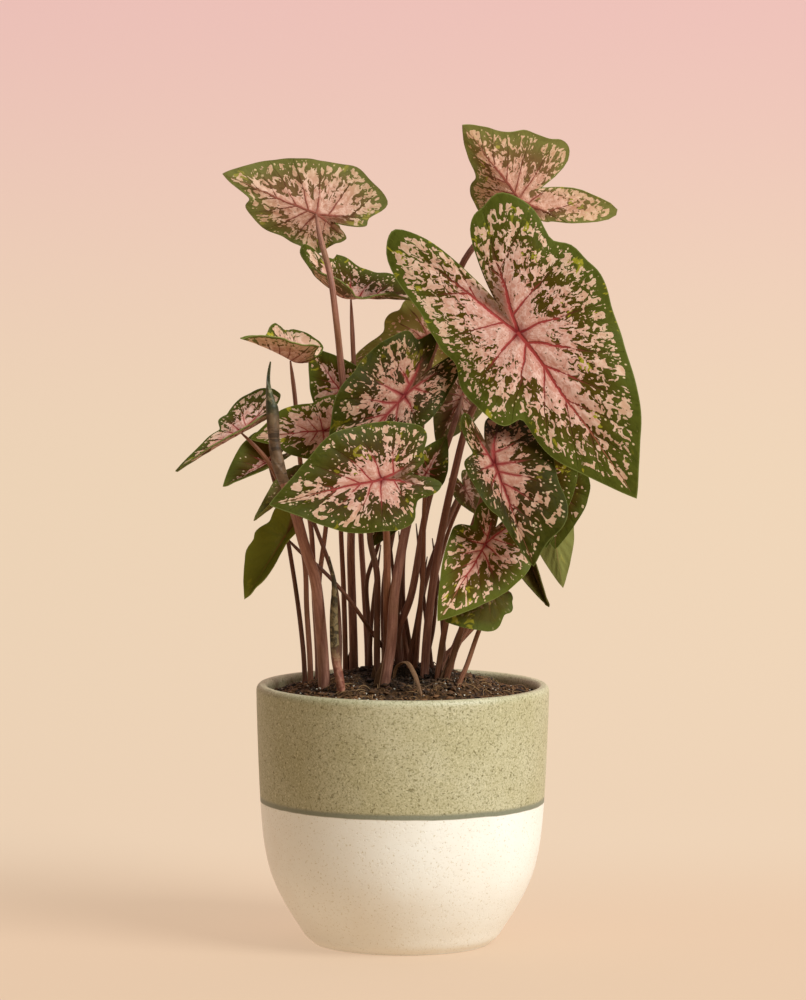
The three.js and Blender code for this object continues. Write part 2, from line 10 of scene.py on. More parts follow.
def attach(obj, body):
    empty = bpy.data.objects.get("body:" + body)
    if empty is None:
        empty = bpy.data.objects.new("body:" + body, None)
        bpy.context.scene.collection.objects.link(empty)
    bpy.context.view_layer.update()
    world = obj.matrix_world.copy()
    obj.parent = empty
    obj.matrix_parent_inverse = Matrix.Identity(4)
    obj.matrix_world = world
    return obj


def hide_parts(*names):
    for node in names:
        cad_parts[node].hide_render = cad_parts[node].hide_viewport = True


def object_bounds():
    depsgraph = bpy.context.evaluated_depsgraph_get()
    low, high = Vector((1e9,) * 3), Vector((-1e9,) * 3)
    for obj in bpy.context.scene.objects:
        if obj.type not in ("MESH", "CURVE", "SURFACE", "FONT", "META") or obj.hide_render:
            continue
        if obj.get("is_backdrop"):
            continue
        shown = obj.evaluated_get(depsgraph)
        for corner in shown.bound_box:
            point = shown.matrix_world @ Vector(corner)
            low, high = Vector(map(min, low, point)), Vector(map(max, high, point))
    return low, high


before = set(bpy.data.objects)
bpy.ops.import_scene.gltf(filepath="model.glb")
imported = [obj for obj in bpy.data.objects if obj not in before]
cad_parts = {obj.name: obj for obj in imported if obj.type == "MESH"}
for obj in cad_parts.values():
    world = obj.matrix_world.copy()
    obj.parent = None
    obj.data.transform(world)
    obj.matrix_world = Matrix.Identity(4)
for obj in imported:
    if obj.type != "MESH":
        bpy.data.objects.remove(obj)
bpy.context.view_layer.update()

# ------------ planter
# A thrown and fired stoneware planter on a plain narrow foot. Its lower half carries a
# cream glaze, its upper half and inside a speckled sage glaze, with a grey band between.
MM = 0.001
POT_HEIGHT = 146.5
POT_OUTSIDE = [(50.4, 0.6), (54.5, 4), (59.2, 11), (64, 18.5), (68.2, 26), (71.6, 33),
               (74.6, 41), (76.8, 50), (78.6, 61), (80, 77), (81, 95), (81.9, 118),
               (82.5, 138), (82.3, 144.8), (80.8, POT_HEIGHT)]
POT_INSIDE = [(78, POT_HEIGHT), (76.5, 144.8), (76.2, 136), (74, 95), (71.5, 61),
              (67.5, 41), (60, 22), (46, 9)]
BAND_BOTTOM, BAND_TOP = 0.0804, 0.0838


def curve_through(points, count):
    """Evenly spaced points on a smooth curve through the given ones."""
    p = [Vector(q) for q in points]
    p = [2 * p[0] - p[1]] + p + [2 * p[-1] - p[-2]]
    fine = []
    for a, b, c, d in zip(p, p[1:], p[2:], p[3:]):
        k0, k1, k2 = [max((v - u).length, 1e-9) ** 0.5 for u, v in ((a, b), (b, c), (c, d))]
        t1 = ((b - a) / k0 - (c - a) / (k0 + k1) + (c - b) / k1) * k1
        t2 = ((c - b) / k1 - (d - b) / (k1 + k2) + (d - c) / k2) * k1
        for i in range(24):
            t = i / 24
            fine.append(b + t1 * t + (3 * (c - b) - 2 * t1 - t2) * t * t
                        + (2 * (b - c) + t1 + t2) * t ** 3)
    fine.append(p[-2])
    run = [0]
    for a, b in zip(fine, fine[1:]):
        run.append(run[-1] + (b - a).length)
    out = []
    i = 0
    for k in range(count + 1):
        want = run[-1] * k / count
        while i < len(run) - 2 and run[i + 1] < want:
            i += 1
        out.append(fine[i].lerp(fine[i + 1], (want - run[i]) / max(run[i + 1] - run[i], 1e-9)))
    return out


def spun(points, steps, weld):
    """A row of points spun once round the upright axis, with what meets welded."""
    bm = bmesh.new()
    verts = [bm.verts.new(p) for p in points]
    edges = [bm.edges.new(pair) for pair in zip(verts, verts[1:])]
    bmesh.ops.spin(bm, geom=verts + edges, cent=(0, 0, 0), axis=(0, 0, 1), angle=2 * pi,
                   steps=steps, use_merge=True)
    bmesh.ops.remove_doubles(bm, verts=bm.verts, dist=weld)
    return bm


def turned(profile, steps):
    """A closed body of revolution from a profile of (radius, height) in millimetres."""
    bm = spun([(r * MM, 0, z * MM) for r, z in profile], steps, 1e-6)
    bmesh.ops.recalc_face_normals(bm, faces=bm.faces)
    return bm


def piece(name, bm, materials, replaces=(), crease=50):
    """Makes the piece, rides it on the plant and hides the solids it stands for."""
    mesh = bpy.data.meshes.new(name)
    bm.to_mesh(mesh)
    bm.free()
    for material in materials:
        mesh.materials.append(material)
    mesh.shade_smooth()
    mesh.set_sharp_from_angle(angle=radians(crease))
    ob = bpy.data.objects.new(name, mesh)
    bpy.context.scene.collection.objects.link(ob)
    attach(ob, "root")
    if replaces:
        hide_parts(*replaces)
    return ob


def srgb(r, g, b):
    """A colour given as 0-255 display values."""
    def line(c):
        c /= 255
        return c / 12.92 if c <= 0.04045 else ((c + 0.055) / 1.055) ** 2.4
    return (line(r), line(g), line(b), 1)


def wire(kind, *inputs, tree=None, out=0, named=None, **settings):
    """A shader node with its inputs set or linked, and its output socket."""
    given = list(enumerate(inputs)) + list((named or {}).items())
    tree = tree or next(v.id_data for _, v in given if isinstance(v, bpy.types.NodeSocket))
    node = tree.nodes.new("ShaderNode" + kind)
    for key, value in settings.items():
        setattr(node, key, value)
    for key, value in given:
        if isinstance(value, bpy.types.NodeSocket):
            tree.links.new(value, node.inputs[key])
        elif value is not None:
            node.inputs[key].default_value = value
    return node.outputs[out]


def feed(node, key, value):
    node.id_data.links.new(value, node.inputs[key])


def sums(operation, *inputs, clamp=False):
    return wire("Math", *inputs, operation=operation, use_clamp=clamp)


def plus(a, b, clamp=False):
    return sums("ADD", a, b, clamp=clamp)


def times(a, b, clamp=False):
    return sums("MULTIPLY", a, b, clamp=clamp)


def times_plus(a, b, c, clamp=False):
    return sums("MULTIPLY_ADD", a, b, c, clamp=clamp)


def vector(operation, *inputs):
    """A sum on vectors; lengths and products come out as one number."""
    measures = operation in ("LENGTH", "DISTANCE", "DOT_PRODUCT")
    return wire("VectorMath", *inputs, out="Value" if measures else 0, operation=operation)


def scaled(arrow, factor):
    return vector("SCALE", arrow, None, None, factor)


def rise(value, low, high, to_low=0, to_high=1):
    """Smooth step of value from low to high."""
    return wire("MapRange", value, low, high, to_low, to_high, interpolation_type="SMOOTHSTEP")


def mix(share, a, b):
    """A blend of two colours: sockets, 0-255 display values, or linear with an alpha."""
    a, b = [srgb(*v) if isinstance(v, tuple) and len(v) == 3 else v for v in (a, b)]
    return wire("Mix", out=2, data_type="RGBA", named={"Factor": share, 6: a, 7: b})


def cloud(place, scale, detail=2, rough=0.5, twist=0, out=0):
    """Soft noise; out 0 gives its value, out 1 its three-part colour."""
    return wire("TexNoise", place, out=out, named={"Scale": scale, "Detail": detail,
                                                   "Roughness": rough, "Distortion": twist})


def new_group(name, inputs, outputs):
    """An empty shader group, the sockets its inputs come from, and its output node."""
    tree = bpy.data.node_groups.new(name, "ShaderNodeTree")
    for key, kind in inputs.items():
        tree.interface.new_socket(key, in_out="INPUT", socket_type="NodeSocket" + kind)
    for key in outputs:
        tree.interface.new_socket(key, in_out="OUTPUT", socket_type="NodeSocketFloat")
    return tree, tree.nodes.new("NodeGroupInput").outputs, tree.nodes.new("NodeGroupOutput")


def use_group(group, **values):
    return wire("Group", node_tree=group, named=values).node.outputs


def new_material(name, rough=0.5, specular=0.5):
    """A material and its surface shader."""
    material = bpy.data.materials.new(name)
    material.use_nodes = True
    skin = material.node_tree.nodes["Principled BSDF"]
    skin.inputs["Roughness"].default_value = rough
    skin.inputs["Specular IOR Level"].default_value = specular
    return material, skin


def spot_on(node):
    """Where a point lies on its piece, in metres."""
    return wire("TexCoord", tree=node.id_data, out="Object")


def marked_on(node, name):
    """What a point of the piece was given under a name."""
    return wire("Attribute", tree=node.id_data, attribute_name=name, out="Vector")


def relief(skin, height, distance, strength=1):
    """Feeds a height in metres times distance to the surface's normal."""
    feed(skin, "Normal", wire("Bump", named={"Strength": strength, "Distance": distance,
                                             "Height": height}))


flecks, inlet, outlet = new_group("flecks", {"Place": "Vector", "Fineness": "Float",
                                              "Level": "Float", "Edge": "Float"}, ["Mask"])
grain = cloud(inlet["Place"], inlet["Fineness"], 2, 0.6, 0.3)
feed(outlet, "Mask", rise(grain, inlet["Level"], plus(inlet["Level"], inlet["Edge"])))


def fleck(place, fineness, level, edge):
    """Grains or flecks of one size: a noise cut off above a level."""
    return use_group(flecks, Place=place, Fineness=fineness, Level=level, Edge=edge)["Mask"]


glaze, skin = new_material("planter_glaze", 0.42, 0.45)
place = spot_on(skin)
wobble = times_plus(cloud(place, 55, 2), 0.0009, -0.00045)
height = plus(wire("SeparateXYZ", place, out="Z"), wobble)
above_line = rise(height, BAND_BOTTOM - 0.0004, BAND_BOTTOM + 0.0003)
above_band = rise(height, BAND_TOP - 0.0016, BAND_TOP + 0.0006)
drift = cloud(place, 28, 3, 0.6)
fine = fleck(place, 950, 0.50, 0.12)
grit = fleck(place, 560, 0.60, 0.06)
pale = fleck(place, 820, 0.57, 0.08)
spots = fleck(place, 560, 0.70, 0.05)
dust = fleck(place, 800, 0.61, 0.08)
# Painted highlight: a paler tint along the top of the rim.
lip = rise(height, 0.1438, 0.1462)
sage = mix(rise(drift, 0.35, 0.65), (184, 177, 138), (193, 187, 152))
# Painted shade: the sage is painted darker towards the left side, the side turned away from the
# key lamp.
across = wire("SeparateXYZ", place, out="X")
sage = mix(rise(across, -0.078, -0.01, 0.34, 0), sage, (112, 112, 74))
for mask, share, tint in ((fine, 0.55, (120, 114, 64)), (grit, 0.65, (100, 92, 46)),
                          (pale, 0.45, (222, 215, 176)), (lip, 0.15, (214, 206, 168))):
    sage = mix(times(mask, share), sage, tint)
cream = mix(rise(drift, 0.35, 0.65), (242, 239, 226), (245, 244, 233))
for mask, tint in ((spots, (168, 142, 104)), (dust, (200, 186, 146))):
    cream = mix(times(mask, 0.55), cream, tint)
band = mix(times(fine, 0.3), (130, 132, 110), (108, 108, 80))
feed(skin, "Base Color", mix(above_line, cream, mix(above_band, band, sage)))
feed(skin, "Roughness", times_plus(above_line, 0.1, 0.4))
pits = times_plus(grit, -0.6, times(drift, 1.5))
relief(skin, plus(pits, plus(above_line, times(above_band, 0.8))), 0.0002, 0.7)

outside, inside = [
    [(r, z) for r, z, _ in curve_through([(r, z, 0) for r, z in line], count)]
    for line, count in ((POT_OUTSIDE, 120), (POT_INSIDE, 70))]
foot = [(0, 0), (25, 0), (45, 0), (49.6, 0), (50.2, 0.2)]
lip_top = [(80.2, POT_HEIGHT), (79.4, POT_HEIGHT), (78.6, POT_HEIGHT)]
floor_inside = [(30, 9), (0, 9)]
bm = turned(foot + outside + lip_top + inside + floor_inside, 192)
piece("planter", bm, [glaze], ["pot"])

# ------------ potting mix
# Damp dark peat and bark filling the planter to a low mound, with white perlite, chips of
# bark and tan fibres. The loose bits lie on it, half sunk in.
SOIL_AT_WALL, SOIL_AT_MIDDLE = 140.5, 152
SOIL_EDGE = 76.1
SOIL_RINGS, SOIL_STEPS = 96, 300
# how far out the loose bits lie, in mm
LITTER_REACH = 74


def ease(a, b, t):
    k = min(1, max(0, (t - a) / (b - a)))
    return k * k * (3 - 2 * k)


def soil_top(r, t):
    """Height of the mix in millimetres at a radius and an angle."""
    mound = 1 - ease(20, 76.5, r)
    lumps = 0.9 * sin(3 * t + r / 9) + 0.7 * sin(7 * t - r / 6)
    return (SOIL_AT_WALL + (SOIL_AT_MIDDLE - SOIL_AT_WALL) * mound
            + lumps * ease(0, 20, r) + 3 * mound * sin(t))


def painted_stem_shade(colour, drift, share, shade_colour):
    """Painted shade: the mix is painted darker around the stalks, where the leaves shade the
    middle of the planter.
    """
    place = spot_on(drift)
    from_axis = vector("LENGTH", vector("MULTIPLY", place, (1, 1, 0)))
    from_axis = times_plus(drift, 0.03, from_axis)
    return mix(rise(from_axis, 0.03, 0.066, share, 0), colour, shade_colour)


soil_mat, skin = new_material("potting_mix", 0.85, 0.3)
place = spot_on(skin)
coarse = cloud(place, 190, 4, 0.65)
crumbs = cloud(place, 620, 3, 0.6)
colour = mix(rise(coarse, 0.35, 0.68), (38, 25, 8), (98, 66, 31))
colour = mix(rise(crumbs, 0.55, 0.75), colour, (128, 90, 46))
colour = mix(times(fleck(place, 420, 0.70, 0.03), 0.8), colour, (190, 170, 132))
# painted shade: the mix darkens towards the stalks in the middle
feed(skin, "Base Color", painted_stem_shade(colour, cloud(place, 40), 0.8, (28, 18, 4)))
relief(skin, plus(coarse, crumbs), 0.0022)

skirt = [(0, 9.4), (45, 9.4), (59.6, 22), (67.1, 41), (71.1, 61), (73.6, 95), (75.8, 136)]
surface = [(SOIL_EDGE * (1 - k / SOIL_RINGS), SOIL_AT_WALL) for k in range(SOIL_RINGS + 1)]
bm = turned(skirt + surface, SOIL_STEPS)
for v in bm.verts:
    if v.co.z > 0.138:
        r, t = hypot(v.co.x, v.co.y) / MM, atan2(v.co.y, v.co.x)
        spot = Vector((v.co.x, v.co.y, 0)) / MM
        clods = noise.fractal(spot / 7.5, 0.9, 2.1, 3) * 1.5
        crumb = noise.fractal(spot / 2.4 + Vector((9, 4, 2)), 0.8, 2, 2) * 0.75
        keep = 1 - ease(74.5, 76, r)
        v.co.z = (soil_top(r, t) + (clods + crumb) * (0.35 + 0.65 * keep)) * MM
piece("potting_mix", bm, [soil_mat], ["soil"], crease=80)

draw = random.Random(11)


def scattered(count, sizes, flatness, sunk, detail, jitter):
    """Small lumps lying on the mix: count, size range in mm, height share, share sunk."""
    bm = bmesh.new()
    for _ in range(count):
        size = draw.uniform(*sizes)
        r = sqrt(draw.random()) * (LITTER_REACH - size)
        t = draw.uniform(0, 2 * pi)
        turn = Matrix.Rotation(draw.uniform(0, 2 * pi), 4, "Z")
        tilt = Matrix.Rotation(draw.uniform(-0.5, 0.5), 4, "X")
        stretch = draw.uniform(0.55, 1)
        form = Matrix.Diagonal((size, size * stretch, size * flatness, 1))
        z = soil_top(r, t) + size * flatness * (0.5 - sunk)
        at = Matrix.Translation((r * cos(t), r * sin(t), z))
        lump = bmesh.ops.create_icosphere(bm, subdivisions=detail, radius=0.5,
                                          matrix=Matrix.Scale(MM, 4) @ at @ turn @ tilt @ form)
        for v in lump["verts"]:
            v.co += Vector([draw.uniform(-1, 1) for _ in range(3)]) * size * jitter * MM
    bmesh.ops.recalc_face_normals(bm, faces=bm.faces)
    return bm


def plain_bits(name, low, high, fineness, rough=0.8):
    """A dull material whose colour drifts between two tones, with painted shade around the
    stalks.
    """
    material, skin = new_material(name, rough)
    place = spot_on(skin)
    shade = cloud(place, fineness, 3, 0.6)
    colour = mix(rise(shade, 0.35, 0.65), low, high)
    feed(skin, "Base Color", painted_stem_shade(colour, shade, 0.75, (26, 16, 5)))
    relief(skin, shade, 0.0006)
    return material


bark = plain_bits("bark_chips", (40, 25, 9), (116, 77, 38), 160)
bits = plain_bits("perlite", (170, 158, 134), (232, 224, 205), 500)
tan = plain_bits("tan_fibre", (96, 66, 34), (160, 124, 78), 90, 0.7)
piece("crumbs", scattered(2300, (0.9, 2.7), 0.7, 0.15, 1, 0.10), [bark], crease=80)
piece("bark", scattered(110, (3.2, 6.5), 0.38, 0.1, 2, 0.05), [bark], crease=40)
piece("perlite", scattered(320, (0.6, 1.7), 0.8, 0.1, 1, 0.08), [bits], crease=80)

# how fast the lengthwise grain of stalks and fibres runs, per mm
GRAIN = 0.03


def heading(path, i):
    """The way a path runs at its point i."""
    return (path[min(i + 1, len(path) - 1)] - path[max(i - 1, 0)]).normalized()


def spread(values, share):
    """The value at a share of the way along a list of them."""
    k = share * (len(values) - 1)
    low = min(len(values) - 2, int(k))
    return values[low] + (values[low + 1] - values[low]) * (k - low)


def drawn_out(bm, edges):
    """Extrudes a row of edges: the new points and the new outer edges."""
    grown = bmesh.ops.extrude_edge_only(bm, edges=edges)["geom"]
    row = [g for g in grown if isinstance(g, bmesh.types.BMVert)]
    return row, [g for g in grown if isinstance(g, bmesh.types.BMEdge)
                 and all(v in row for v in g.verts)]


def tube(path, radii, sides):
    """A round tube along a path in mm, its radii spread evenly, with its grain marked."""
    bm = bmesh.new()
    around = bm.verts.layers.float_vector.new("grain")
    side = Vector((1, 0, 0))
    run = 0
    before = None
    for i, at in enumerate(path):
        ahead = heading(path, i)
        side = (side - ahead * side.dot(ahead)).normalized()
        r = spread(radii, i / (len(path) - 1))
        base = Matrix((side, ahead.cross(side), ahead)).transposed().to_4x4()
        run += (at - path[max(i - 1, 0)]).length
        now = (Matrix.Scale(MM, 4) @ Matrix.Translation(at) @ base
               @ Matrix.Diagonal((r, r, 1, 1)))
        if before is None:
            ring = bmesh.ops.create_circle(bm, cap_ends=True, segments=sides, radius=1,
                                           matrix=now)["verts"]
            edges = bm.edges[:]
            for v in ring:
                v[around] = now.inverted() @ v.co
        else:
            ring, edges = drawn_out(bm, edges)
            bmesh.ops.transform(bm, matrix=now @ before.inverted(), verts=ring)
        for v in ring:
            v[around] = (*v[around][:2], run * GRAIN)
        before = now
    bmesh.ops.edgeloop_fill(bm, edges=edges)
    bmesh.ops.recalc_face_normals(bm, faces=bm.faces)
    return bm


def joined(parts):
    """One mesh from several, which stay loose from each other."""
    whole = bmesh.new()
    for part in parts:
        mesh = bpy.data.meshes.new("part")
        part.to_mesh(mesh)
        part.free()
        whole.from_mesh(mesh)
        bpy.data.meshes.remove(mesh)
    return whole


threads = []
for _ in range(200):
    r, t = sqrt(draw.random()) * 68, draw.uniform(0, 2 * pi)
    reach, aim = draw.uniform(3, 11), draw.uniform(0, 2 * pi)
    lift = draw.uniform(0.6, 2.2)
    points = []
    for k in range(4):
        x = r * cos(t) + reach * (k / 3 - 0.5) * cos(aim + 0.25 * k)
        y = r * sin(t) + reach * (k / 3 - 0.5) * sin(aim + 0.25 * k)
        near = min(hypot(x, y), LITTER_REACH) / max(hypot(x, y), 1e-6)
        x, y = x * near, y * near
        z = soil_top(hypot(x, y), atan2(y, x)) + 0.5 + lift * sin(pi * k / 3)
        points.append((x, y, z))
    thick = draw.uniform(0.12, 0.32)
    threads.append(tube(curve_through(points, 8), [thick, thick, thick * 0.5], 5))
piece("fibres", joined(threads), [tan], crease=80)

# ------------ leaf blades
# Thin arrow-shaped blades, each on its own stalk: dark green with a pink middle, red
# veins and cream specks above, greyer with raised veins below. The stalk joins below.
# the outline: angle from the midrib in degrees, radius in leaf lengths
OUTLINE = [(0, 1), (7, 0.86), (15, 0.74), (30, 0.6), (50, 0.51), (75, 0.46), (100, 0.47),
           (112, 0.5), (125, 0.55), (145, 0.68), (155, 0.73), (163, 0.72), (170, 0.6),
           (176, 0.35), (180, 0.2)]
# width of the fold along the midrib and stretch of the lobes' bend, in leaf lengths
CREASE, LOBE_BEND = 0.07, 0.2
BLADE_THICKNESS = 0.6

# join: where the stalk meets the blade; tip: the far end of the midrib
# roll: turn of the blade about the line join-tip, 0 when its upper face looks to the front
# pairs give the plus half (left of the midrib, upper face up) then the minus half, and one
# number stands for both: wide: width; ear: length of the lobes behind the stalk
# fold: each half raised from the midrib, deg; cup: further curl out to the margin, deg
# lobes: the lobes bent up behind the stalk, deg; nod: tip bent down, deg
# wave: height of the margin's waves and how many
# edge: places where the margin swells or is nicked: angle, spread, share of the radius
# stalk: points from the soil up; stout: radius at the soil and at the blade
blade = namedtuple("blade", "join tip roll wide ear fold stalk stout cup lobes nod wave edge",
                   defaults=(0, 0, 10, (0.02, 4), ()))
LEAVES = [
    # 1 the large one, front right
    blade((62, -35, 346), (125, -62, 257), 0, wide=(1.02, 0.88), ear=(1, 1.1), fold=6, cup=-10,
        nod=12, wave=(0.02, 5), edge=[(22, 14, 0.07), (90, 16, 0.05), (128, 9, -0.12),
        (163, 6, -0.08), (-36, 8, -0.2), (-100, 14, -0.16), (-118, 9, -0.08), (-134, 14, -0.18),
        (-164, 9, 0.07)], stalk=[(12, -4, 148), (14, 2, 177), (19, 4, 216), (28, 6, 261),
        (38, 2, 300), (48, -10, 319)], stout=(2.6, 1.8)),
    # 2 top right, seen from below
    blade((66, 30, 420), (30, -25, 462), 180, wide=(1, 0.66), ear=1, fold=(5, 20), cup=10,
        wave=(0.01, 4), edge=[(20, 12, -0.1), (88, 18, 0.16), (119, 9, -0.6), (128, 6, -0.2),
        (148, 7, 0.45), (168, 9, -0.35), (-30, 18, -0.22)], stalk=[(-12, -24, 146),
        (-8, -22, 170), (-6, -20, 199), (0, -14, 233), (6, -8, 257), (9, 0, 290), (14, 4, 327),
        (21, 6, 346), (33, 4, 384), (52, 12, 407)], stout=(3.2, 1.6)),
    # 3 top left, seen from below
    blade((-50, 4, 411), (-103, -14, 434), 180, wide=(1.1, 0.9), ear=(1, 0.6), fold=8, cup=10,
        wave=(0.03, 5), edge=[(113, 16, 0.12), (164, 8, -0.28), (-10, 6, -0.17),
        (-61, 15, -0.14), (-90, 20, -0.2), (-150, 25, -0.15)], stalk=[(-26, 38, 157),
        (-28, 34, 215), (-29, 8, 244), (-31, -18, 276), (-36, -16, 325), (-40, -35, 355),
        (-43, -35, 377), (-48, -18, 398)], stout=(2.6, 1.6)),
    # 4 below it, seen almost edge-on
    blade((-30, 0, 364), (24, 20, 362), -72, wide=(1, 0.6), ear=(1, 0.95), fold=25, cup=5,
        lobes=37, nod=5, wave=(0.03, 5), edge=[(95, 22, 0.15)], stalk=[(-18, 40, 158),
        (-20, 42, 196), (-22, 42, 227), (-24, 36, 276), (-28, 12, 330)], stout=(1.8, 1.3)),
    # 5 small, left, edge-on
    blade((-64, -12, 330), (-94, -38, 344), 80, wide=(1, 1.1), ear=(0.5, 0.88), fold=(48, 30),
        cup=5, lobes=30, wave=(0.03, 5), edge=[(-25, 18, -0.22)], stalk=[(-47, 28, 157),
        (-49, 28, 191), (-51, 26, 231), (-57, 20, 266), (-61, 8, 307)], stout=(1.7, 1.2)),
    # 6 far left, narrow and folded
    blade((-92, -12, 290), (-133, -38, 267), 35, wide=(0.9, 0.75), ear=(0.6, 0.98), fold=(60, 15),
        cup=5, edge=[(-14, 14, -0.25), (-42, 22, -0.5), (-85, 26, -0.32)], stalk=[(-52, 6, 154),
        (-54, 8, 187), (-56, 6, 219), (-66, 0, 250), (-76, -12, 272), (-84, -16, 282)],
        stout=(1.7, 1.2)),
    # 7 small olive one behind the furled leaf
    blade((-76, 4, 272), (-102, -10, 259), 10, wide=(0.55, 1.2), ear=0.8, fold=(60, 0), cup=5,
        stalk=[(-55, 15, 153), (-57, 15, 176), (-62, 13, 211), (-69, 10, 248)], stout=(1.5, 1.1)),
    # 8 right of the furled leaf
    blade((-45, -2, 290), (-87, -3, 285), 15, wide=(0.9, 1), ear=1, fold=6, cup=5,
        edge=[(14, 10, -0.12), (-28, 14, 0.08), (-72, 20, -0.15)], stalk=[(-44, 18, 156),
        (-47, 20, 195), (-43, 18, 234), (-41, 14, 261)], stout=(1.6, 1.2)),
    # 9 left, behind the dark leaf
    blade((-35, 18, 311), (-53, 10, 336), 0, wide=1.2, ear=1, fold=10, cup=5,
        stalk=[(-31, 33, 156), (-32, 34, 194), (-34, 36, 240), (-34, 32, 286)], stout=(1.6, 1.2)),
    # 10 dark leaf in the middle
    blade((-2, -30, 311), (-48, -44, 263), 0, wide=(0.62, 0.98), ear=0.85, fold=10, cup=-10,
        nod=15, wave=(0.02, 5), edge=[(-45, 22, 0.12), (-152, 8, -0.2)], stalk=[(-15, -8, 146),
        (-15, -6, 183), (-15, -4, 209), (-19, -2, 234), (-7, -8, 268)], stout=(2, 1.5)),
    # 11 low front leaf
    blade((-16, -66, 267), (-78, -84, 255), 10, wide=(0.95, 1.05), ear=(0.8, 0.88), fold=6,
        cup=-10, nod=12, wave=(0.02, 5), edge=[(35, 20, 0.07), (140, 18, -0.3), (-48, 22, 0.11),
        (-163, 11, -0.3)], stalk=[(-10, 6, 153), (-9, 4, 165), (-10, -16, 199), (-11, -30, 231),
        (-14, -50, 255)], stout=(2.6, 1.8)),
    # 12 back, lit through, behind the dark leaf
    blade((15, 28, 342), (-32, 18, 326), 170, wide=1, ear=(0.8, 1), fold=10, cup=5,
        wave=(0.04, 6), edge=[(20, 15, -0.24), (60, 9, -0.1)], stalk=[(4, 22, 152),
        (2, 24, 174), (1, 24, 214), (7, 26, 260), (11, 26, 305)], stout=(1.8, 1.3)),
    # 13 small, middle, seen from below
    blade((34, 18, 308), (19, 8, 281), 180, wide=1, ear=1, fold=10, cup=5, stalk=[(-1, 18, 153),
        (-2, 16, 173), (5, 8, 196), (14, 0, 250), (27, 2, 289)], stout=(2.6, 1.5)),
    # 14 right of the middle, under the large leaf
    blade((47, -50, 275), (68, -66, 220), 0, wide=(1.2, 0.64), ear=(0.85, 0.8), fold=(-9, 30),
        lobes=(-20, 42), nod=30, wave=(0.02, 5), edge=[(28, 16, 0.3), (-24, 12, -0.12),
        (-125, 15, -0.35)], stalk=[(19, -10, 148), (24, -10, 184), (32, -16, 218),
        (41, -27, 250)], stout=(2, 1.4)),
    # 15 behind it, inner of two
    blade((76, -12, 271), (79, -20, 225), 0, wide=1, ear=0.8, fold=8, stalk=[(28, 22, 155),
        (35, 20, 177), (50, 14, 207), (64, 6, 239)], stout=(1.8, 1.3)),
    # 16 behind it, outer of two
    blade((87, 12, 256), (86, 4, 222), 0, wide=(1.2, 1.1), ear=0.8, fold=8, stalk=[(30, 32, 155),
        (38, 32, 174), (57, 30, 203), (73, 24, 232)], stout=(1.6, 1.2)),
    # 17 lit through, hanging behind
    blade((86, 26, 235), (92, 18, 199), 180, wide=0.75, ear=1, fold=12, nod=5,
        stalk=[(23, 38, 153), (36, 41, 167), (57, 40, 190), (74, 38, 214)], stout=(1.5, 1.1)),
    # 18 narrow, hanging, folded
    blade((69, -24, 220), (80, -30, 193), 20, wide=0.9, ear=0.8, fold=60, nod=5, wave=(0.01, 4),
        stalk=[(21, 4, 150), (28, 8, 165), (43, 4, 187), (57, -6, 206)], stout=(1.4, 1)),
    # 19 low right leaf
    blade((43, -42, 229), (16, -56, 188), 0, wide=(1.18, 0.87), ear=(0.9, 0.75), fold=6, cup=-10,
        nod=15, wave=(0.02, 5), edge=[(-112, 15, -0.4)], stalk=[(23, -12, 146), (28, -14, 165),
        (35, -16, 190), (40, -24, 212)], stout=(2, 1.4)),
    # 20 under the low right leaf
    blade((48, -28, 200), (21, -38, 186), 0, wide=(1.5, 0.35), ear=(0.5, 0.8), fold=6, nod=15,
        edge=[(95, 30, -0.4)], stalk=[(29, -26, 145), (35, -24, 161), (41, -22, 178),
        (46, -22, 190)], stout=(1.6, 1.2)),
    # 21 hanging and twisted, low left
    blade((-67, -10, 231), (-90, -24, 197), 0, wide=(0.45, 1), ear=(0.6, 0.8), fold=(62, 0),
        lobes=20, nod=5, edge=[(28, 14, 0.2), (75, 30, -0.4), (-50, 10, -0.12),
        (-100, 35, -0.4)], stalk=[(-6, 16, 156), (-10, 10, 165), (-17, 2, 175), (-33, -10, 198),
        (-48, -13, 214), (-58, -12, 222)], stout=(1.4, 1)),
    # 22 narrow, left, under the front leaf
    blade((-59, -9.5, 258), (-85, -23.5, 241), 60, wide=0.8, ear=0.8, fold=50, nod=5,
        wave=(0.01, 4), stalk=[(-37, -20, 149), (-36, -4, 177), (-39, 0, 205), (-49, 2, 234)],
        stout=(1.5, 1.1)),
    # 23 dark, between the middle and front leaves
    blade((11, -26, 268), (23, -18, 288), 0, wide=1, ear=0.8, fold=10, nod=5, stalk=[(7, 6, 149),
        (8, 6, 171), (11, 2, 205), (11, -8, 240)], stout=(1.6, 1.2)),
    # 24 low, behind the front leaf
    blade((-9, 14, 245), (-18, 8, 223), 0, wide=1.2, ear=1, fold=6, nod=5, stalk=[(-17, 28, 156),
        (-18, 30, 180), (-19, 30, 202), (-13, 28, 222)], stout=(1.5, 1.1)),
    # 25 low, behind the right stalks
    blade((37, 26, 254), (44, 20, 240), 180, wide=1, ear=1, fold=6, nod=5, stalk=[(14, 38, 153),
        (16, 40, 167), (18, 38, 190), (27, 34, 228)], stout=(1.5, 1.1)),
    # 26 at the back, high
    blade((22, 62, 330), (24, 112, 312), 0, wide=0.9, ear=0.8, fold=10, cup=-10, nod=20,
        wave=(0.03, 5), stalk=[(-8, 42, 152), (-8, 46, 200), (4, 52, 260), (18, 60, 305)],
        stout=(2, 1.4)),
    # 27 at the back, low
    blade((80, 50, 325), (92, 102, 305), 0, wide=0.9, ear=0.6, fold=10, cup=-10, nod=20,
        wave=(0.03, 5), stalk=[(10, 48, 152), (16, 54, 200), (42, 58, 262), (70, 54, 308)],
        stout=(1.9, 1.3)),
]
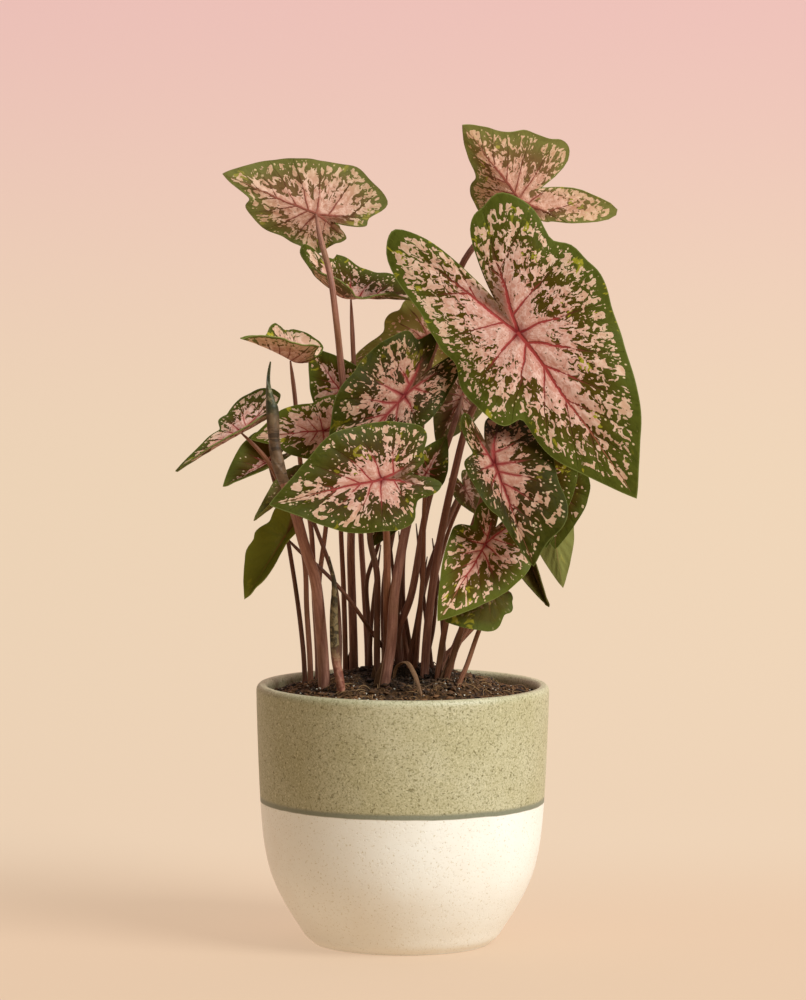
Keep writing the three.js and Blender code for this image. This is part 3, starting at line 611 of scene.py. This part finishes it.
# how pink each blade is, from 0 to 1, and how much light or shade is painted on it: low values
# paint it darker and warmer, as in shade, values over 1.3 paint it yellow-green, as if lit
# through
TINTS = [(0.58, 0.85), (0.60, 0.96), (0.62, 0.77), (0.48, 0.74), (0.90, 0.95), (0.60, 0.70),
         (0.25, 1.05), (0.60, 1.15), (0.54, 0.80), (0.50, 0.42), (0.50, 0.62), (0.34, 1.52),
         (0.38, 0.85), (0.50, 0.43), (0.30, 0.80), (0.20, 0.65), (0.00, 1.05), (0.05, 0.45),
         (0.46, 1.05), (0.06, 0.85), (0.02, 1.42), (0.25, 1.20), (0.30, 0.80), (0.25, 0.65),
         (0.40, 0.75), (0.45, 0.60), (0.45, 0.60)]
# blades seen only from behind, grey-green or mauve on both faces
PALE = (18, 22)
# main veins of one half: start, end, half width at each, in leaf lengths
MIDRIB_END = (0.97, 0)
VEINS = [((0, 0), (0.45, 0), 0.011, 0.006), ((0.45, 0), (0.97, 0), 0.006, 0.002),
         ((0, 0), (-0.16, 0.045), 0.010, 0.008), ((-0.16, 0.045), (-0.6, 0.2), 0.008, 0.003),
         ((-0.1, 0.028), (-0.2, 0.36), 0.007, 0.002),
         ((0, 0), (0.05, 0.22), 0.008, 0.005), ((0.05, 0.22), (0.11, 0.42), 0.005, 0.002),
         ((0.07, 0), (0.21, 0.17), 0.007, 0.005), ((0.21, 0.17), (0.38, 0.36), 0.005, 0.002),
         ((0.2, 0), (0.36, 0.11), 0.006, 0.004), ((0.36, 0.11), (0.6, 0.26), 0.004, 0.002),
         ((0.4, 0), (0.72, 0.17), 0.005, 0.002), ((0.6, 0), (0.86, 0.1), 0.004, 0.002),
         ((-0.32, 0.1), (-0.46, 0.34), 0.005, 0.002),
         ((-0.27, 0.085), (-0.55, 0.06), 0.004, 0.002)]


def slopes(table):
    """Slopes that keep a curve through the table from swinging past its points."""
    steps = [(b[1] - a[1]) / (b[0] - a[0]) for a, b in zip(table, table[1:])]
    inner = [2 * a * b / (a + b) if a * b > 0 else 0 for a, b in zip(steps, steps[1:])]
    return steps[:1] + inner + steps[-1:]


OUTLINE_SLOPES = slopes(OUTLINE)


def of_half(pair, half):
    """The value for one half of a blade, where one number stands for both."""
    return pair[half] if isinstance(pair, tuple) else pair


def outline_radius(leaf, angle):
    half = 0 if angle >= 0 else 1
    a = abs(angle)
    i = 1
    while i < len(OUTLINE) - 1 and a > OUTLINE[i][0]:
        i += 1
    (a0, r0), (a1, r1) = OUTLINE[i - 1], OUTLINE[i]
    h, t = a1 - a0, (a - a0) / (a1 - a0)
    r = (r0 * (1 + 2 * t) * (1 - t) ** 2 + h * OUTLINE_SLOPES[i - 1] * t * (1 - t) ** 2
         + r1 * t * t * (3 - 2 * t) + h * OUTLINE_SLOPES[i] * t * t * (t - 1))
    factor = 1 + (of_half(leaf.ear, half) - 1) * ease(95, 150, a) * (1 - ease(172, 180, a))
    for at, spread, amount in leaf.edge:
        factor *= 1 + amount * exp(-(((angle - at) / spread) ** 2))
    return r * factor


def bent(x, angle, stretch):
    """A strip laid along x, turned up by an angle over its first stretch, then straight."""
    arc = min(x, stretch)
    turn = angle * arc / stretch
    chord = arc if abs(turn) < 1e-4 else arc * sin(turn / 2) / (turn / 2)
    rest = x - arc
    return (chord * cos(turn / 2) + rest * cos(turn), chord * sin(turn / 2) + rest * sin(turn),
            turn)


def quilting(x, y):
    """How far the blade swells between its sunken main veins, 0 to 1."""
    near = 1
    for (ax, ay), (bx, by), _, _ in VEINS:
        dx, dy = bx - ax, by - ay
        t = min(1, max(0, ((x - ax) * dx + (abs(y) - ay) * dy) / (dx * dx + dy * dy)))
        near = min(near, hypot(x - ax - t * dx, abs(y) - ay - t * dy))
    return 1 - exp(-((near / 0.035) ** 2))


def sheet(leaf, x, y, extra=0):
    """A point of the blade in leaf lengths; x along the midrib, y to the plus side."""
    half = 0 if y >= 0 else 1
    out = abs(y) * of_half(leaf.wide, half)
    curl = radians(of_half(leaf.cup, half)) * out / 0.45
    lean = radians(of_half(leaf.fold, half)) * ease(0, CREASE, out) + curl / 2
    chord = out if abs(curl) < 1e-4 else out * sin(curl / 2) / (curl / 2)
    side = (1 if half == 0 else -1) * chord * cos(lean)
    up = chord * sin(lean) + extra
    a = atan2(y, x)
    high, count = leaf.wave
    reach = hypot(x, y) / outline_radius(leaf, degrees(a))
    calm = 1 - ease(radians(140), radians(168), abs(a))
    up += high * sin(count * a) * calm * min(1.1, reach) ** 3
    share = ease(-0.15, 0.15, y)
    lobe = of_half(leaf.lobes, 0) * share + of_half(leaf.lobes, 1) * (1 - share)
    if x > 0:
        along, high, turn = bent(x, -radians(leaf.nod), 1)
    else:
        along, high, turn = bent(-x, radians(lobe), LOBE_BEND)
    back = 1 if x > 0 else -1
    return Vector((back * (along - up * sin(turn)), side, high + up * cos(turn)))


def placing(leaf):
    """Places blade points in millimetres: the midrib's ends land on join and tip."""
    join = Vector(leaf.join)
    line = Vector(leaf.tip) - join
    X = line.normalized()
    front = Vector((0, -1, 0))
    N = (front - X * front.dot(X)).normalized()
    N = Matrix.Rotation(radians(leaf.roll), 3, X) @ N
    Y = N.cross(X)
    end = sheet(leaf, 1, 0)
    ex = end.normalized()
    ez = Vector((0, 0, 1))
    ez = (ez - ex * ez.dot(ex)).normalized()
    ey = ez.cross(ex)
    scale = line.length / end.length
    turn = Matrix((X, Y, N)).transposed() @ Matrix((ex, ey, ez)) * scale
    return lambda p: join + turn @ p, N, scale


def blade_mesh(leaf, number):
    """The blade: a spun disc whose points go to the leaf's outline, then to its place."""
    place, _, length = placing(leaf)
    rays, rings = (168, 40) if length > 45 else (108, 24)
    bm = spun([((k / rings) ** 0.9, 0, 0) for k in range(rings + 1)], rays, 1e-5)
    bm.normal_update()
    bmesh.ops.reverse_faces(bm, faces=[f for f in bm.faces if f.normal.z < 0])
    on_leaf = bm.verts.layers.float_vector.new("leaf")
    habit = bm.verts.layers.float_vector.new("habit")
    pink, painted_light = TINTS[number - 1]
    swell = min(0.9, 0.009 * length) / length
    for v in bm.verts:
        out = min(1, hypot(v.co.x, v.co.y))
        a = atan2(v.co.y, v.co.x)
        a -= 0.38 * sin(2 * a)
        ragged = 1 + 0.012 * noise.noise(Vector((3 * cos(a), 3 * sin(a), number)))
        r = out * outline_radius(leaf, degrees(a)) * ragged
        x, y = r * cos(a), r * sin(a)
        v[on_leaf] = (x, y, out)
        # the third part of habit is the blade's painted light
        v[habit] = (length / 100, pink, painted_light)
        ripple = 0.006 * noise.noise(Vector((9 * x, 9 * y, number))) * out ** 2
        ripple += 0.004 * sin(17 * a + number) * out ** 6
        fade = 1 - out ** 8
        v.co = place(sheet(leaf, x, y, swell * quilting(x, y) * fade + ripple)) * MM
    bm.normal_update()
    for v in bm.verts:
        v.co += v.normal * BLADE_THICKNESS / 2 * MM
    below = bmesh.ops.solidify(bm, geom=bm.faces[:], thickness=BLADE_THICKNESS * MM)
    for part in below["geom"]:
        if isinstance(part, bmesh.types.BMFace):
            part.material_index = 1
    return bm


# where the pink, the cream specks, the yellow-green patches and the veins lie on a blade
pattern, inlet, outlet = new_group(
    "leaf_pattern", {"Leaf": "Vector", "Habit": "Vector"},
    ("Pink", "Speck", "Grit", "Lime", "Vein", "Rib", "Halo", "Fine", "Cleft", "Heart", "Out"))
ahead, across, out_share = wire("SeparateXYZ", inlet["Leaf"]).node.outputs
length, pinkness, _ = wire("SeparateXYZ", inlet["Habit"]).node.outputs
flat = wire("CombineXYZ", ahead, across, times(length, 19))
warp = vector("SUBTRACT", cloud(flat, 3.2, out=1), (0.5, 0.5, 0.5))
warp = vector("MULTIPLY", warp, (0.085, 0.05, 0))
bowed = wire("SeparateXYZ", vector("ADD", flat, warp)).node.outputs
half = wire("CombineXYZ", bowed["X"], sums("ABSOLUTE", bowed["Y"]), 0)
nearest = 99
for (ax, ay), (bx, by), wide, slim in VEINS:
    dx, dy = bx - ax, by - ay
    reach = dx * dx + dy * dy
    rel = vector("SUBTRACT", half, (ax, ay, 0))
    t = plus(vector("DOT_PRODUCT", rel, (dx / reach, dy / reach, 0)), 0, clamp=True)
    gap = vector("DISTANCE", rel, scaled((dx, dy, 0), t))
    width = times_plus(t, slim - wide, wide)
    nearest = sums("MINIMUM", sums("DIVIDE", gap, width), nearest)
    if (bx, by) == MIDRIB_END:
        rib = rise(nearest, 0.4, 1.1, 1, 0)
        spine = rise(nearest, 1.5, 11, 1, 0)
# the patches and specks are drawn out along the rays from the stalk
on_blade = wire("CombineXYZ", ahead, across, 0)
radius = vector("LENGTH", on_blade)
drawn = scaled(on_blade, sums("POWER", plus(radius, 0.05), -0.4))
drawn = scaled(drawn, times(length, 0.9))
drawn = vector("ADD", drawn, wire("CombineXYZ", 0, 0, times(length, 43)))
patches = cloud(drawn, 8, 4, 0.62, 0.7)
tongues = cloud(drawn, 25, 2, 0.55, 1)
outer = rise(out_share, 0.1, 0.6, 0.2, 0.64)
ragged = times(sums("SUBTRACT", tongues, 0.5), rise(out_share, 0.1, 0.5, 0.8, 5))
nearest = plus(nearest, ragged)
vein = rise(nearest, 0.55, 1.3, 1, 0)
halo = rise(nearest, 0.9, 4.5, 1, 0)
field = times_plus(outer, sums("SUBTRACT", tongues, patches), patches)
inner = sums("SUBTRACT", 1, rise(out_share, 0.3, 0.65))
level = rise(out_share, 0.08, 0.4, 0.40, 0.48)
level = plus(level, rise(out_share, 0.3, 0.8, 0, 0.055))
level = plus(level, rise(out_share, 0.9, 0.985, 0, 0.3))
level = plus(level, rise(pinkness, 0, 1, 0.12, -0.10))
level = plus(level, times(halo, times_plus(inner, -0.13, 0.085)))
level = times_plus(spine, -0.11, level)
lobe_share = rise(ahead, -0.35, 0, 1, 0)
level = times_plus(lobe_share, -0.03, level)
pink = rise(field, level, plus(level, 0.018))
cells = wire("TexVoronoi", drawn, named={"Scale": 40}).node.outputs
dot = rise(cells["Distance"], 0.17, 0.25, 1, 0)
pick = wire("SeparateColor", cells["Color"])
ring = times(rise(out_share, 0.45, 0.7), rise(out_share, 0.945, 0.98, 1, 0))
marked = rise(pinkness, 0, 0.25)
speck = times(times(dot, sums("GREATER_THAN", pick, 0.55)), times(ring, marked))
grit = times(dot, sums("LESS_THAN", pick, 0.16))
lime = rise(cloud(drawn, 11, 3, 0.6, 0.5), 0.62, 0.67)
fine = cloud(drawn, 30, 3, 0.6, 0.8)
lobed = times_plus(sums("ABSOLUTE", across), -2.9, times(ahead, -1))
cleft = times(rise(lobed, -0.02, 0.07), rise(radius, 0.2, 0.42, 1, 0))
for key, value in (("Pink", times(pink, marked)), ("Speck", speck), ("Grit", grit),
                   ("Lime", lime), ("Vein", times(vein, marked)),
                   ("Rib", times(rib, rise(marked, 0, 1, 0.4, 1))),
                   ("Halo", times(halo, marked)), ("Fine", fine), ("Cleft", cleft),
                   ("Heart", times(marked, rise(radius, 0.01, 0.07, 1, 0))),
                   ("Out", out_share)):
    feed(outlet, key, value)


def leaf_face(name, rough, green, island, lime, pinks, speck, blush, veins, rib, heart,
              cleft, dry, swell):
    """One face of a blade; each colour pair runs from dark to light. The blade's painted light
    darkens, warms or yellows the face.
    """
    material, skin = new_material(name, rough, 0.05)
    on_leaf = marked_on(skin, "leaf")
    habit = marked_on(skin, "habit")
    _, pinkness, painted_light = wire("SeparateXYZ", habit).node.outputs
    lies = use_group(pattern, Leaf=on_leaf, Habit=habit)
    out_share = lies["Out"]
    # the dark or light colour of each pair is picked by fine noise and by the painted light
    shade = times_plus(lies["Fine"], 1.1, times_plus(painted_light, 1, -0.6), clamp=True)
    plain = rise(pinkness, 0, 0.1, 1, 0)
    greener = sums("MAXIMUM", rise(out_share, 0.55, 0.95), plain)
    base = mix(greener, mix(shade, *island), mix(shade, *green))
    # real lime patches, plus painted light: blades painted as lit through turn all yellow-green
    yellow = times(lies["Lime"], rise(painted_light, 0, 1, 0.3, 1))
    yellow = times(yellow, rise(plain, 0, 1, 1, 0.3))
    yellow = sums("MAXIMUM", yellow, rise(painted_light, 1.3, 1.8))
    base = mix(yellow, base, mix(shade, *lime))
    # painted shade: blades with little painted light get warmer, less blue greens
    shade_warmth = mix(rise(painted_light, 0.3, 0.9), (1, 0.80, 0.50, 1), (1, 0.97, 0.94, 1))
    base = vector("MULTIPLY", base, shade_warmth)
    rosy = mix(rise(lies["Fine"], 0.35, 0.68), *pinks)
    rosy = mix(rise(out_share, 0.4, 0.9, 0, 0.45), rosy, speck)
    rosy = mix(times(lies["Grit"], 0.75), rosy, veins[1])
    # painted shade: and warmer, duller pinks
    shade_warmth = mix(rise(painted_light, 0.3, 0.75), (0.86, 0.77, 0.66, 1), (1, 1, 1, 1))
    rosy = vector("MULTIPLY", rosy, shade_warmth)
    base = mix(lies["Pink"], base, rosy)
    base = mix(lies["Speck"], base, speck)
    base = mix(times(lies["Cleft"], 0.8), base, cleft)
    # painted shade: the blush near the veins turns deeper crimson on blades painted as in shade
    in_shade = rise(painted_light, 0.35, 0.6, 1, 0)
    near = times(lies["Halo"], rise(out_share, 0.15, 0.6, 0.5, 0))
    near = times(near, plus(in_shade, 1), clamp=True)
    base = mix(near, base, mix(in_shade, blush, veins[0]))
    base = mix(times(lies["Heart"], 0.75), base, heart)
    line = mix(rise(out_share, 0.3, 0.65), *veins)
    line = mix(lies["Heart"], line, heart)
    fade = rise(out_share, 0.55, 0.92, 1, 0)
    base = mix(times(lies["Vein"], fade), base, line)
    middle = mix(rise(out_share, 0.35, 0.8), veins[0], rib)
    last = rise(out_share, 0.88, 1, 1, 0.3)
    base = mix(times(lies["Rib"], last), base, middle)
    base = mix(rise(out_share, 0.985, 1, 0, 0.6), base, dry)
    # painted light: the whole colour is scaled darker or lighter by the blade's painted light
    feed(skin, "Base Color", scaled(base, times_plus(painted_light, 0.62, 0.42)))
    feed(skin, "Roughness", times_plus(lies["Fine"], 0.25, rough - 0.12))
    puckers = times_plus(lies["Vein"], swell, lies["Fine"])
    relief(skin, times_plus(lies["Pink"], 0.25, puckers), 0.0005, 0.6)
    return material


upper_face = leaf_face(
    "leaf_upper_face", 0.5, green=((48, 56, 11), (87, 93, 31)),
    island=((46, 38, 4), (82, 66, 14)), lime=((104, 102, 18), (166, 160, 48)),
    pinks=((200, 142, 122), (228, 188, 170)), speck=(216, 190, 148), blush=(186, 100, 86),
    veins=((158, 62, 56), (84, 54, 28)), rib=(146, 96, 66), heart=(118, 32, 32),
    cleft=(92, 56, 32), dry=(134, 140, 74), swell=-1.6)
under_face = leaf_face(
    "leaf_under_face", 0.64, green=((74, 80, 34), (116, 116, 60)),
    island=((84, 62, 34), (116, 90, 56)), lime=((110, 108, 40), (156, 148, 70)),
    pinks=((190, 138, 114), (226, 186, 164)), speck=(200, 176, 130), blush=(172, 106, 86),
    veins=((146, 82, 66), (96, 62, 38)), rib=(150, 108, 78), heart=(168, 104, 86),
    cleft=(122, 78, 56), dry=(112, 104, 54), swell=2.4)

for number, leaf in enumerate(LEAVES, 1):
    name = f"leaf_{number:02d}_blade"
    above = under_face if number in PALE else upper_face
    piece(name.replace("blade", "leaf"), blade_mesh(leaf, number), [above, under_face],
          [name])

# ------------ leaf stalks
# One smooth fleshy stalk per blade, pinkish brown and finely streaked along its length,
# thickest where it comes out of the mix and joining the blade's veins underneath.
# height of the stalks' feet inside the mix, in mm
STALK_DEPTH = 118


def fleshy(name, low, high, tint, streak=2.2, rough=0.5):
    """Smooth plant skin with fine lengthwise streaks, read from the tube's own grain."""
    material, skin = new_material(name, rough, 0.25)
    lengthwise = marked_on(skin, "grain")
    place = spot_on(skin)
    lines = cloud(lengthwise, streak, 3, 0.6)
    patchy = cloud(place, 34, 3, 0.6)
    colour = mix(rise(lines, 0.22, 0.78), low, high)
    colour = mix(rise(patchy, 0.5, 0.72, 0, 0.6), colour, tint)
    dots = cloud(place, 900, 2, 0.6)
    colour = mix(rise(dots, 0.5, 0.72, 0, 0.35), colour, low)
    feed(skin, "Base Color", colour)
    relief(skin, lines, 0.0006, 0.5)
    return material


stalk_skin = fleshy("stalk_skin", (108, 64, 44), (160, 108, 80), (124, 90, 54))
# painted light and shade: a pale copy of the stalk skin for stalks in the light, a dark copy for
# stalks in the leaves' shade
lit_skin = fleshy("pale_stalk_skin", (118, 74, 58), (174, 124, 102), (140, 104, 74))
shaded_skin = fleshy("dark_stalk_skin", (76, 44, 28), (128, 82, 58), (94, 70, 36))
SKINS = dict.fromkeys((1, 2, 3, 4, 5, 13), lit_skin)
SKINS |= dict.fromkeys((7, 10, 21, 22, 24, 26, 27), shaded_skin)

for number, leaf in enumerate(LEAVES, 1):
    _, N, _ = placing(leaf)
    low, high = leaf.stout
    x, y, _ = leaf.stalk[0]
    below = Vector(leaf.join) - N * (BLADE_THICKNESS / 2 + 0.35 * high)
    path = curve_through([(x, y, STALK_DEPTH)] + leaf.stalk + [below], 72)
    radii = [low + (high - low) * k / 24 for k in range(24)] + [high * 0.8, high * 0.4]
    radii[:3] = [low * 1.02] * 3
    name = f"leaf_{number:02d}_stalk"
    piece(name.replace("stalk", "petiole"), tube(path, radii, 20),
          [SKINS.get(number, stalk_skin)], [name], crease=70)

# ------------ rolled leaf and sprout
# A new leaf still rolled into a spike on a thick stalk of its own, its free edge winding
# round it, and a short shoot in a pointed sheath. Both are living leaf tissue.
SPIKE = [(-68, -28, 262), (-71, -30, 272), (-74, -30, 287), (-75, -30, 302),
         (-77, -30, 319), (-76, -30, 330)]
SPIKE_RADII = [2.9, 3.45, 3.6, 3.3, 3.2, 3.5, 3.55, 3.3, 2.3, 1.2, 0.8, 0.4]
SPIKE_STALK = [(-45, -12, STALK_DEPTH), (-45, -12, 150), (-47, -16, 179), (-51, -24, 210),
               (-57, -30, 228), (-62, -31, 246), (-67.2, -28.6, 260.4), (-69, -28.6, 265)]
SPIKE_STALK_RADII = [3.4, 3.4, 3.3, 3.2, 3.1, 3, 2.8]
SPROUT = [(-36, -28, STALK_DEPTH), (-36, -28, 147), (-39, -27, 165), (-40, -26, 185),
          (-40, -25, 205), (-43, -25, 221)]
SPROUT_RADII = [2.2, 2.2, 2.4, 2.6, 2.6, 2.4, 2, 1.4, 0.5]


def wound(bm, turns, depth):
    """Raises the free edge of a rolled leaf: a step that winds up the tube."""
    around = bm.verts.layers.float_vector["grain"]
    high = max(v[around][2] for v in bm.verts)
    bm.normal_update()
    moves = []
    for v in bm.verts:
        gx, gy, run = v[around]
        if gx or gy:
            turn = (atan2(gy, gx) / (2 * pi) + turns * run / high) % 1
            moves.append((v, v.normal * (depth * (turn ** 1.5 - 0.5)) * MM))
    for v, move in moves:
        v.co += move
    return bm


rolled, skin = new_material("rolled_leaf", 0.5, 0.4)
place = spot_on(skin)
height = wire("SeparateXYZ", place, out="Z")
lengthwise = marked_on(skin, "grain")
lines = cloud(lengthwise, 3, 3, 0.6)
clouds = cloud(place, 150, 3, 0.6)
squashed = wire("Mapping", place, named={"Scale": (0.18, 0.18, 1)})
bars = cloud(squashed, 240, 3, 0.6, 1.2)
tan_part = mix(rise(clouds, 0.3, 0.65), (70, 52, 32), (118, 92, 66))
tan_part = mix(rise(bars, 0.53, 0.60, 0, 0.75), tan_part, (50, 36, 18))
green_part = mix(rise(clouds, 0.35, 0.65), (46, 50, 24), (80, 80, 46))
blotch = cloud(place, 120, 3, 0.6, 0.5)
green_part = mix(rise(blotch, 0.56, 0.62, 0, 0.75), green_part, (146, 132, 96))
greener = rise(times_plus(bars, 0.02, height), 0.303, 0.318)
feed(skin, "Base Color", mix(greener, tan_part, green_part))
relief(skin, times_plus(lines, 0.4, bars), 0.0007, 0.6)

spike = tube(curve_through(SPIKE, 90), SPIKE_RADII, 40)
piece("rolled_leaf", wound(spike, 1.6, 0.7), [rolled], ["furled_leaf"], 60)
spike_stalk = tube(curve_through(SPIKE_STALK, 80), SPIKE_STALK_RADII, 28)
# the stalk takes the pale, painted-light copy of the stalk skin
piece("rolled_leaf_stalk", spike_stalk, [lit_skin], ["furled_leaf_stalk"], 70)

sheath, skin = new_material("sprout_sheath", 0.5, 0.3)
place = spot_on(skin)
height = wire("SeparateXYZ", place, out="Z")
blotch = cloud(place, 260, 3, 0.6, 0.6)
upper = mix(rise(blotch, 0.42, 0.58), (58, 46, 22), (122, 104, 68))
lower = mix(rise(blotch, 0.35, 0.65), (124, 70, 52), (172, 118, 92))
height = times_plus(blotch, 0.02, height)
feed(skin, "Base Color", mix(rise(height, 0.168, 0.182), lower, upper))
relief(skin, blotch, 0.0005, 0.5)
shoot = tube(curve_through(SPROUT, 80), SPROUT_RADII, 28)
piece("shoot", wound(shoot, 0.7, 0.45), [sheath], ["sprout"], 60)

# foot, then tip, of the thin young stems between the others, in mm
YOUNG = [((-6, 12), (-1, 10, 226)), ((1, 20), (-8, 16, 240)), ((7, 14), (-2, 12, 232)),
         ((12, 2), (20, 6, 206)), ((17, 12), (8, 16, 236)), ((-18, 18), (-12, 14, 224)),
         ((24, 6), (17, 12, 228)), ((3, 4), (14, 8, 218))]
young = []
for k, ((x, y), tip) in enumerate(YOUNG):
    middle = Vector((x, y, 150)).lerp(Vector(tip), 0.5) + Vector((1.5 - k % 3 * 1.5, 0, 0))
    path = curve_through([(x, y, STALK_DEPTH + 22), (x, y, 152), middle, tip], 40)
    young.append(tube(path, [1.3, 1.3, 1.25, 1.15, 1, 0.8, 0.3], 14))
# the young stems stand in shade and take the dark, painted-shade copy of the stalk skin
piece("young_stems", joined(young), [shaded_skin], crease=70)

# ------------ old sheaths and a dry strip
# Papery brown remains of old leaf sheaths: one curled strip arching down onto the mix, and
# loose collars hugging the feet of some stalks.
# thickness of the papery remains, in mm
PAPER = 0.35
paper = fleshy("papery_sheath", (88, 60, 38), (142, 108, 76), (76, 50, 30), 3, 0.75)


def ribbon(path, widths, facing):
    """A thin curved strip along a path in mm, its width spread evenly."""
    bm = bmesh.new()
    around = bm.verts.layers.float_vector.new("grain")
    row = [bm.verts.new((0, 0, 0)) for _ in range(5)]
    edges = [bm.edges.new(pair) for pair in zip(row, row[1:])]
    for i, at in enumerate(path):
        if i:
            row, edges = drawn_out(bm, edges)
            row.sort(key=lambda v: v[around][0])
        ahead = heading(path, i)
        side = (facing - ahead * facing.dot(ahead)).normalized()
        bulge = side.cross(ahead)
        wide = spread(widths, i / (len(path) - 1))
        for j, v in enumerate(row):
            t = (j - 2) / 2
            v.co = (at + side * wide * t + bulge * wide * 0.55 * t * t) * MM
            v[around] = (t, 0, i * 0.05)
    bmesh.ops.solidify(bm, geom=bm.faces[:], thickness=PAPER * MM)
    bmesh.ops.recalc_face_normals(bm, faces=bm.faces)
    return bm


strip = ribbon(curve_through([(-7, -28, 153), (-5, -32, 161), (0, -36, 163.5),
                              (4, -42, 158), (7, -48, 149), (8, -50, 145.5)], 40),
               [0.8, 1.3, 1.5, 1.3, 0.7], Vector((1, 0.35, 0.1)))
piece("dry_strip", strip, [paper], crease=60)
# which stalk each collar hugs, how tall it is in mm and which way it opens, in radians
collars = []
for number, tall, open_to in ((2, 13, 5.2), (11, 10, 0.4), (19, 15, 4.4), (13, 12, 5),
                              (3, 11, 3.9), (10, 9, 5.6)):
    leaf = LEAVES[number - 1]
    low = leaf.stout[0]
    path = curve_through([(*leaf.stalk[0][:2], 144)] + leaf.stalk[:3], 60)
    path = [q for q in path if q.z < 150 + tall]
    facing = Vector((cos(open_to), sin(open_to), 0))
    strips = [q + facing.cross(Vector((0, 0, 1))) * (low + 0.25) for q in path]
    collars.append(ribbon(strips, [low * 1.1, low, low * 0.8, 0.3], facing))
piece("old_sheaths", joined(collars), [paper], crease=60)

# ------------ studio
# Not part of the plant: a plain pale sweep of paper, cream below and pink above, three
# soft lights and the camera. All lengths here are metres.
SWEEP_NEAR, SWEEP_BEND, SWEEP_RADIUS, SWEEP_HALF, SWEEP_TOP = -3, 0.55, 0.6, 3, 3
sweep_mat, skin = new_material("pale_sweep", 0.9, 0.1)
tree = sweep_mat.node_tree
place = spot_on(skin)
height = wire("SeparateXYZ", place, out="Z")
wall = mix(rise(height, 0.16, 0.64), (232, 208, 180), (232, 188, 183))
depth = wire("SeparateXYZ", place, out="Y")
wall = mix(rise(depth, 0.02, 0.42), (228, 199, 169), wall)
feed(skin, "Base Color", mix(0.72, wall, (0, 0, 0)))
feed(skin, "Emission Color", wall)
skin.inputs["Emission Strength"].default_value = 0.72
# from behind the sweep is see-through, so the plant can be looked at from every side
behind = wire("NewGeometry", tree=tree, out="Backfacing")
see_through = wire("BsdfTransparent", tree=tree)
feed(tree.nodes["Material Output"], "Surface",
     wire("MixShader", behind, skin.outputs["BSDF"], see_through))

bm = bmesh.new()
line = [(SWEEP_NEAR, 0), (SWEEP_BEND, 0)]
line += [(SWEEP_BEND + SWEEP_RADIUS * sin(a), SWEEP_RADIUS - SWEEP_RADIUS * cos(a))
         for a in [pi / 2 * k / 12 for k in range(1, 13)]]
line += [(SWEEP_BEND + SWEEP_RADIUS, SWEEP_TOP)]
verts = [bm.verts.new((-SWEEP_HALF, y, z)) for y, z in line]
far, _ = drawn_out(bm, [bm.edges.new(pair) for pair in zip(verts, verts[1:])])
bmesh.ops.translate(bm, vec=(2 * SWEEP_HALF, 0, 0), verts=far)
bm.normal_update()
bmesh.ops.reverse_faces(bm, faces=[f for f in bm.faces if f.normal.z - f.normal.y < 0])
mesh = bpy.data.meshes.new("sweep")
bm.to_mesh(mesh)
bm.free()
mesh.materials.append(sweep_mat)
mesh.shade_smooth()
sweep = bpy.data.objects.new("sweep", mesh)
bpy.context.scene.collection.objects.link(sweep)
sweep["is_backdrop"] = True


def softbox(name, at, aim, size, power, tint):
    """A round soft lamp at a place, looking at another; its size across and its watts."""
    lamp = bpy.data.lights.new(name, "AREA")
    lamp.shape = "DISK"
    lamp.size = size
    lamp.energy = power
    lamp.color = tint
    ob = bpy.data.objects.new(name, lamp)
    ob.location = at
    ob.rotation_euler = (Vector(aim) - Vector(at)).to_track_quat("-Z", "Y").to_euler()
    bpy.context.scene.collection.objects.link(ob)


softbox("key", (2.5, -2.1, 2.7), (0, 0, 0.22), 2.3, 212, (0.92, 0.965, 1))
softbox("fill", (-1.5, -1.7, 0.9), (0, 0, 0.25), 1.8, 1.5, (1, 0.96, 0.9))
softbox("backdrop", (0, 0.45, 1.9), (0, 1.15, 0.3), 1.4, 6, (1, 0.99, 1))
world = bpy.data.worlds.new("studio")
world.use_nodes = True
sky = world.node_tree.nodes["Background"]
sky.inputs["Color"].default_value = (1, 0.91, 0.77, 1)
seen = wire("LightPath", tree=world.node_tree, out="Is Camera Ray")
feed(sky, "Strength", rise(seen, 0, 1, 0.18, 0.8))
bpy.context.scene.world = world

camera = bpy.data.cameras.new("camera")
camera.sensor_fit = "AUTO"
camera.sensor_width = 36
camera.lens = 182.87
camera.clip_end = 20
stand = bpy.data.objects.new("camera", camera)
stand.location = (-0.159, -2.845, 0.484)
stand.rotation_euler = [radians(turn) for turn in (85.318, -0.266, -3.17)]
bpy.context.scene.collection.objects.link(stand)
bpy.context.scene.camera = stand
bpy.context.scene.view_settings.view_transform = "Standard"

low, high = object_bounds()
